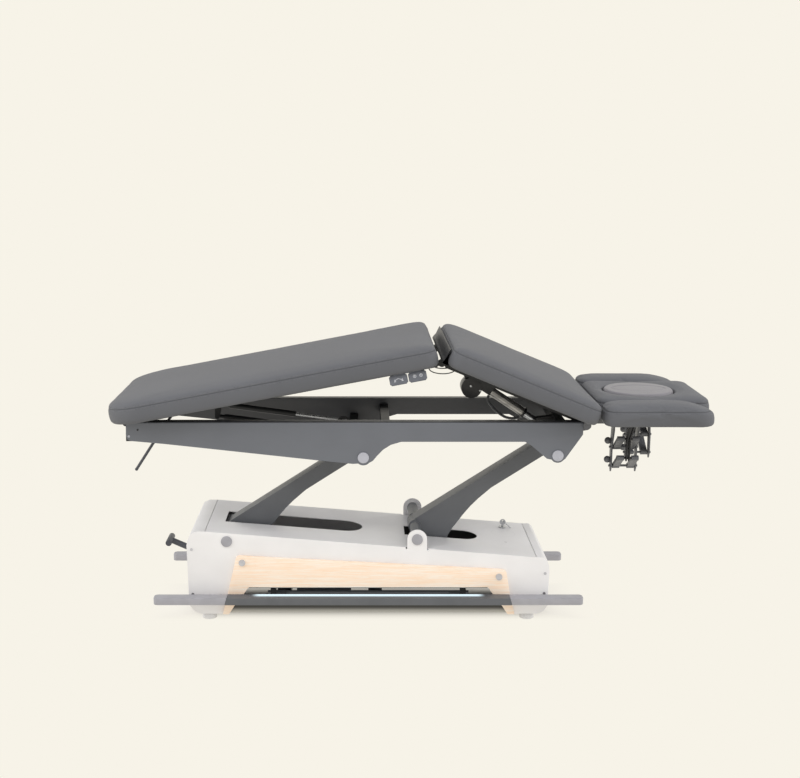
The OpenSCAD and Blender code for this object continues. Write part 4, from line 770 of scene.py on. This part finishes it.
def casingPaint():
    # satin white outside; inside, the foot-end well is grey, darker with depth (painted shade), and the head-end
    # one black
    f = Finish("casingPaint", IOR=1.46)
    x, y, z = f.parts()
    between = (x - (baseX + 0.0095)).size().under(0.569)
    inside = (topOf(x) - z - 0.0022).ramp(0.0, 0.0006) * y.size().under(0.1996) * between
    headEnd = x.ramp(baseX - 0.02, baseX + 0.10)
    # the foot-end well's grey, darkening with depth, is painted shade
    depth = (topOf(x) - z).ramp(0.0, 0.10)
    well = f.colours(headEnd, f.colours(depth, "#d6d4d5", "#a2a1a3"), "#161617")
    mottle = f.noise(7.0, 3.0)
    paint = f.colours(mottle.ramp(0.3, 0.7), "#e9e7e7", "#eeecec")
    dx, dy = x - (baseX + 0.4927), y - 0.0567
    lid = ((dx * dx + dy * dy) ** 0.5 - 0.0420).bell(0.0007) * (1 - inside)
    latch = (x - (baseX + 0.4901)).size().under(0.0045) * (y + 0.0516).size().under(0.0022) * (1 - inside)
    paint = f.colours(lid * 0.22, paint, "#9c9a9c")
    paint = f.colours(latch * 0.75, paint, "#55555a")
    f.give("Base Color", f.colours(inside, paint, well))
    f.give("Roughness", f.noise(40.0) * 0.08 + inside * 0.2 + 0.34)
    f.bump(f.noise(1000.0, 2.0) + lid * -1.5, 0.00004)
    return f


def shadedInsideCoat(name, outer, inner, half, rough):
    # powder coat outside; the side towards the middle of the table is painted darker as shade
    f = Finish(name, IOR=1.46)
    y = f.parts()[1]
    mottle = f.noise(9.0, 4.0).ramp(0.3, 0.7)
    inside = y.size().under(half)
    low = f.colours(mottle, tuple(c * 0.94 for c in srgb(inner)), inner)
    high = f.colours(mottle, tuple(c * 0.95 for c in srgb(outer)), outer)
    # the inner side's darker colour is painted shade
    f.give("Base Color", f.colours(inside, high, low))
    f.give("Roughness", f.noise(40.0) * 0.1 + (rough - 0.05))
    f.bump(f.noise(1100.0, 2.0), 0.00006)
    return f


def chassisPaint():
    # the beams go from dark to pale olive grey downwards: a painted shadow copying the foot bars' shadow on the
    # floor; black inside
    f = Finish("chassisPaint", IOR=1.46)
    x, y, z = f.parts()
    beam = z.under(0.0605) * (y.size() - 0.1495).over(0.0)
    footBay = f.colours(z.ramp(0.12, 0.14), "#1c1c1f", "#c9c8ca")
    black = f.colours(x.ramp(baseX - 0.16, baseX - 0.02), footBay, "#1c1c1f")
    # painted shadow: the beams' outer faces darken towards the top, under the bar
    foot = (0.0465 - z).ramp(0.0, 0.021)
    f.give("Base Color", f.colours(beam, black, f.colours(foot, "#403f3c", "#c2c0b9")))
    f.give("Roughness", f.noise(40.0) * 0.1 + 0.45)
    f.bump(f.noise(1100.0, 2.0), 0.00006)
    return f


def screwCaps():
    # pale upper caps, darker lower screws
    f = Finish("screwCaps", IOR=1.47)
    z = f.parts()[2]
    low = z.under(0.12)
    tone = f.noise(60.0).ramp(0.3, 0.7)
    upper = f.colours(tone, "#b9b8bb", "#c6c5c8")
    f.give("Base Color", f.colours(low, upper, f.colours(tone, "#6a696d", "#77767a")))
    f.give("Roughness", tone * 0.1 + 0.36)
    return f


def plywood():
    # pale birch: long grain along the table, faint rings; the two slotted bolt heads are painted metal
    f = Finish("plywood", IOR=1.45, Coat_Weight=0.15, Coat_Roughness=0.35)
    x, y, z = f.parts()
    grain = f.noise(30.0, 6.0, 0.62, vector=f.stretched(0.35, 1.0, 6.0))
    wave = f.noise(9.0, 4.0, 0.5, vector=f.stretched(0.3, 1.0, 3.2))
    rings = (wave * 14.0).fraction()
    rings = (rings - 0.5).size() * 2
    pores = f.noise(600.0, 2.0, vector=f.stretched(0.05, 1.0, 1.0))
    base = f.colours(grain.ramp(0.32, 0.7), "#ffe3c8", "#fff1e2")
    base = f.colours(rings.ramp(0.75, 1.0) * 0.22, base, "#f4d2ae")
    base = f.colours(pores.ramp(0.62, 0.75) * 0.18, base, "#e8c5a0")
    metal = None
    slot = None
    for bx, bz in ((-0.694 * 0.625, 0.664 * 0.321), (0.72 * 0.625, 0.508 * 0.321)):
        dx, dz = x - (baseX + bx), z - bz
        r = (dx * dx + dz * dz) ** 0.5
        disc = r.under(0.0112)
        mark = (dx * 0.5 + dz * 0.87).size().under(0.0011) * r.under(0.0075)
        metal = disc if metal is None else metal + disc
        slot = mark if slot is None else slot + mark
    out = (y.size() - 0.2035).over(0.0)
    metal, slot = (metal * out).clamped(), (slot * out).clamped()
    base = f.colours(metal, base, "#a2a1a6")
    # the slots' dark colour is painted shade in the recess
    f.give("Base Color", f.colours(slot, base, "#2c2c2e"))
    f.give("Roughness", grain * 0.14 + 0.40)
    f.bump(grain * 0.5 + pores * 0.2 - slot * 4.0, 0.0001)
    return f


def barPaint():
    # dark bar; its top glows pale blue: painted light standing for the strip's light falling on it, strongest on
    # the near bar
    f = Finish("barPaint", IOR=1.47)
    x, y, z = f.parts()
    mottle = f.noise(12.0, 3.0)
    f.give("Base Color", f.colours(mottle.ramp(0.3, 0.7), "#5a5c60", "#606266"))
    f.give("Roughness", f.noise(50.0) * 0.1 + 0.38)
    # painted light: the strip's glow on the bar's top, given as emission
    lit = (0.404 - (x - baseX).size()).ramp(0.0, 0.03) * (z - 0.0945).ramp(0.0, 0.003)
    near = (0.246 - y.size()).ramp(0.0, 0.022) * y.size().over(0.205)
    f.give("Emission Color", f.colours(lit * near * (y.under(0.0) * 0.9 + 0.1), (0, 0, 0), "#c3d6dd"))
    f.shader.inputs["Emission Strength"].default_value = 1.5
    f.bump(f.noise(1100.0, 2.0), 0.00005)
    return f


def motorShell():
    # black housing; the tube beyond the gear case is drawn steel, its end ring black again
    f = Finish("motorShell", IOR=1.47)
    x, _, z = f.parts()
    pivot = joints["tilt_motor_swing"]["pos_m"]
    way = joints["tilt_rod_slide"]["axis"]
    along = (x - pivot[0]) * way[0] + (z - pivot[2]) * way[2]
    metal = along.ramp(0.1035, 0.1045) * (1 - along.ramp(0.2395, 0.2402))
    streak = f.noise(90.0, 3.0, vector=f.stretched(0.2, 1.0, 1.0))
    tube = f.colours(streak.ramp(0.3, 0.7), "#8f8d8b", "#b0aeab")
    f.give("Base Color", f.colours(metal, f.colours(f.noise(40.0).ramp(0.3, 0.7), "#151517", "#1d1d20"), tube))
    f.give("Metallic", metal * 0.85)
    f.give("Roughness", streak * 0.12 + 0.26)
    f.bump(f.noise(900.0, 2.0) * (1 - metal), 0.00006)
    return f


def ribbedHose():
    f = Finish("ribbedHose", IOR=1.45)
    tone = f.noise(120.0, 2.0)
    f.give("Base Color", f.colours(tone.ramp(0.3, 0.7), "#3a3b3e", "#4a4b4f"))
    f.give("Roughness", tone * 0.1 + 0.35)
    return f


def glowStrip():
    # lit above on its outer face, dark below and behind
    f = Finish("glowStrip", IOR=1.45, Roughness=0.4)
    tone = f.noise(25.0, 2.0)
    _, y, z = f.parts()
    line = (z - 0.1190).ramp(0.0, 0.0012) * y.size().over(0.189)
    pale = f.colours(tone.ramp(0.3, 0.7), "#e4ecee", "#f0f3f4")
    f.give("Base Color", f.colours(line, "#2c2d2f", pale))
    shine = f.colours(tone.ramp(0.3, 0.7), "#d4dde0", "#e2e8ea")
    f.give("Emission Color", f.colours(line, (0.004, 0.004, 0.005), shine))
    f.shader.inputs["Emission Strength"].default_value = 0.9
    return f


def chipboard():
    f = Finish("chipboard", IOR=1.45)
    fleck = f.cells(260.0, feature="F1")
    f.give("Base Color", f.colours(fleck.ramp(0.1, 0.7), "#17171a", "#222226"))
    f.give("Roughness", fleck * 0.2 + 0.5)
    f.bump(fleck, 0.00015)
    return f


white = casingPaint()
railPaint = shadedInsideCoat("railPaint", "#6d7077", "#4c4d50", 0.2285, 0.42)
armPaint = powderCoat("armPaint", "#606266", 0.42)
blackPaint = powderCoat("blackPaint", "#1b1c1e", 0.45)
linkPaint = powderCoat("linkPaint", "#636468", 0.4)
palePlastic = mouldedPlastic("palePlastic", "#a4a3a9")
lightPlastic = mouldedPlastic("lightPlastic", "#b7b8c1")
feetRubber = mouldedPlastic("feetRubber", "#e2e1e2", 0.6)
darkPlastic = mouldedPlastic("darkPlastic", "#484a51")
greyPlastic = mouldedPlastic("greyPlastic", "#85868a")
steel = brightSteel("steel", "#c2c4c8", 0.28, (1, 1, 0.1))
turnedSteel = brightSteel("turnedSteel", "#b2b4b8", 0.34, (0.1, 1, 1))
wood, bar, motor = plywood(), barPaint(), motorShell()
hose, glow, boardPaint = ribbedHose(), glowStrip(), chipboard()

coats = {
    "chassis": chassisPaint(), "lower_axles": turnedSteel, "light_strips": glow, "control_box": darkPlastic,
    "lift_actuator": greyPlastic, "key_switch": steel, "castor_carriage_foot": turnedSteel,
    "castor_carriage_head": turnedSteel, "castor_wheels_foot": greyPlastic, "castor_wheels_head": greyPlastic,
    "key": steel, "spare_key": steel, "lift_rod": turnedSteel, "upper_axles": turnedSteel, "tilt_rod": steel,
    "tilt_conduit": hose, "strut_rods": steel, "side_screws": screwCaps(), "cross_members": blackPaint,
    "frame_brackets": blackPaint, "release_lever": darkPlastic, "strut_cylinders": blackPaint,
    "mid_frame": blackPaint, "leg_frame": blackPaint, "hinge_tube": linkPaint,
}
# pieces whose edges are rounded, with the radius and the finish
rounded = {
    "base_casing": (0.0008, white), "end_caps": (0.0008, white), "wood_panel_near": (0.0009, wood),
    "wood_panel_far": (0.0009, wood), "foot_bar_near": (0.0022, bar), "foot_bar_far": (0.0022, bar),
    "bar_sleeves_near": (0.0020, palePlastic), "bar_sleeves_far": (0.0020, palePlastic),
    "rubber_feet": (0.0020, feetRubber), "lower_pivot_caps": (0.0014, palePlastic),
    "upper_pivot_caps": (0.0014, lightPlastic), "rail_near": (0.0008, railPaint), "rail_far": (0.0008, railPaint),
    "arm_foot": (0.0015, armPaint), "arm_head": (0.0015, armPaint), "castor_pedal": (0.0015, darkPlastic),
    "tilt_motor": (0.0015, motor), "head_frame": (0.0009, linkPaint), "link_upper_near": (0.0009, linkPaint),
    "link_lower_near": (0.0009, linkPaint), "link_upper_far": (0.0009, linkPaint),
    "link_lower_far": (0.0009, linkPaint), "rest_carrier_near": (0.0009, boardPaint),
    "rest_carrier_far": (0.0009, boardPaint), "leg_board": (0.0012, boardPaint), "mid_board": (0.0012, boardPaint),
    "head_board": (0.0012, boardPaint),
}
for name, coat in coats.items():
    dress(name, coat)
for name, (width, coat) in rounded.items():
    dress(name, coat)
    softened(name, width, coat)
for name in ("leg_cushion", "mid_cushion", "head_cushion", "armrest_near", "armrest_far", "face_plug"):
    dress(name, padVinyl)
dress("gap_flap", boardPaint)
dress("keypads", greyPlastic)
missing = [n for n in frame["nodes"] if n not in coats and n not in rounded]
print("hard parts done; dressed as soft:", missing)


def button(name, centre, radius, out, body, material):
    # a low round head on a face that looks towards -y
    p = [(radius * 0.2, out), (radius * 0.75, out * 0.9), (radius, out * 0.45), (radius, -0.0008)]
    o = turnedBody(name, p, centre, "y", 32, material.material)
    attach(o, body)
    return o


button("railPlug", (baseX - 0.8045, -0.2300, 0.6620), 0.0040, 0.0008, "upper_frame", lightPlastic)
button("railScrew", (baseX - 0.7745, -0.2300, 0.6845), 0.0034, 0.0006, "upper_frame", blackRubber)
button("motorScrewA", (baseX + 0.3583, -0.0320, 0.7972), 0.0042, 0.0016, "tilt_drive", steel)
button("motorScrewB", (baseX + 0.3914, -0.0320, 0.7812), 0.0042, 0.0016, "tilt_drive", steel)

# view, floor and light
scene = bpy.context.scene
camera = bpy.data.cameras.new("camera")
camera.sensor_width = 36
camera.lens = 56.42
camera.shift_x = 0.05125
eye = bpy.data.objects.new("camera", camera)
eye.location = (-0.032 + baseX, -4.336, 1.596)
eye.rotation_euler = (math.radians(79.35), 0, 0)
scene.collection.objects.link(eye)
scene.camera = eye
scene.view_settings.view_transform = "Standard"
scene.view_settings.look = "None"

backdrop = "#f7f3e8"


def floorSheet():
    me = bpy.data.meshes.new("floor")
    me.from_pydata([(-30, -12, 0), (30, -12, 0), (30, 60, 0), (-30, 60, 0)], [], [(0, 1, 2, 3)])
    o = bpy.data.objects.new("floor", me)
    scene.collection.objects.link(o)
    mat = bpy.data.materials.new("floorMat")
    mat.use_nodes = True
    t = mat.node_tree
    t.nodes.clear()
    out = t.nodes.new("ShaderNodeOutputMaterial")
    glowing = t.nodes.new("ShaderNodeEmission")
    glowing.inputs["Color"].default_value = (*srgb(backdrop), 1)
    matte = t.nodes.new("ShaderNodeBsdfDiffuse")
    matte.inputs["Color"].default_value = (0.92, 0.895, 0.845, 1)
    mix = t.nodes.new("ShaderNodeMixShader")
    co = t.nodes.new("ShaderNodeTexCoord")
    axes = t.nodes.new("ShaderNodeSeparateXYZ")
    t.links.new(co.outputs["Object"], axes.inputs[0])
    most = t.nodes.new("ShaderNodeMath")
    most.operation = "MAXIMUM"
    for i, (middle, start, end) in enumerate(((baseX, 0.50, 0.80), (0.0, 0.055, 0.205))):
        off = t.nodes.new("ShaderNodeMath")
        off.operation = "SUBTRACT"
        off.inputs[1].default_value = middle
        far = t.nodes.new("ShaderNodeMath")
        far.operation = "ABSOLUTE"
        fade = t.nodes.new("ShaderNodeMapRange")
        fade.interpolation_type = "SMOOTHSTEP"
        fade.inputs["From Min"].default_value = start
        fade.inputs["From Max"].default_value = end
        t.links.new(axes.outputs[i], off.inputs[0])
        t.links.new(off.outputs[0], far.inputs[0])
        t.links.new(far.outputs[0], fade.inputs["Value"])
        t.links.new(fade.outputs["Result"], most.inputs[i])
    t.links.new(most.outputs[0], mix.inputs[0])
    t.links.new(matte.outputs[0], mix.inputs[1])
    t.links.new(glowing.outputs[0], mix.inputs[2])
    t.links.new(mix.outputs[0], out.inputs["Surface"])
    me.materials.append(mat)
    return o


floorSheet()
world = bpy.data.worlds.new("world")
scene.world = world
world.use_nodes = True
t = world.node_tree
t.nodes.clear()
out = t.nodes.new("ShaderNodeOutputWorld")
seen = t.nodes.new("ShaderNodeBackground")
seen.inputs["Color"].default_value = (*srgb(backdrop), 1)
lit = t.nodes.new("ShaderNodeBackground")
lit.inputs["Color"].default_value = (1, 1, 1, 1)
lit.inputs["Strength"].default_value = 0.80
path = t.nodes.new("ShaderNodeLightPath")
mix = t.nodes.new("ShaderNodeMixShader")
either = t.nodes.new("ShaderNodeMath")
either.operation = "MAXIMUM"
both = t.nodes.new("ShaderNodeMath")
both.operation = "MAXIMUM"
t.links.new(path.outputs["Is Camera Ray"], either.inputs[0])
t.links.new(path.outputs["Is Glossy Ray"], either.inputs[1])
t.links.new(either.outputs[0], both.inputs[0])
t.links.new(path.outputs["Is Transmission Ray"], both.inputs[1])
t.links.new(both.outputs[0], mix.inputs[0])
t.links.new(lit.outputs[0], mix.inputs[1])
t.links.new(seen.outputs[0], mix.inputs[2])
t.links.new(mix.outputs[0], out.inputs["Surface"])


def lamp(name, where, aim, size, power, colour=(1, 1, 1)):
    data = bpy.data.lights.new(name, "AREA")
    data.shape = "RECTANGLE"
    data.size, data.size_y = size
    data.energy = power
    data.color = colour
    o = bpy.data.objects.new(name, data)
    o.location = where
    way = Vector(aim) - Vector(where)
    o.rotation_euler = way.to_track_quat("-Z", "Y").to_euler()
    scene.collection.objects.link(o)
    return o


lamp("overhead", (baseX, 0.3, 3.3), (baseX, 0, 0), (3.4, 3.0), 9)
lamp("front", (baseX - 0.3, -2.5, 3.1), (baseX, 0, 0.2), (3.6, 1.6), 30)
lamp("footSide", (baseX - 4.0, -0.6, 2.1), (baseX, 0, 0.3), (2.0, 1.5), 48)
lamp("headSide", (baseX + 4.0, -0.6, 2.1), (baseX, 0, 0.3), (2.0, 1.5), 48)
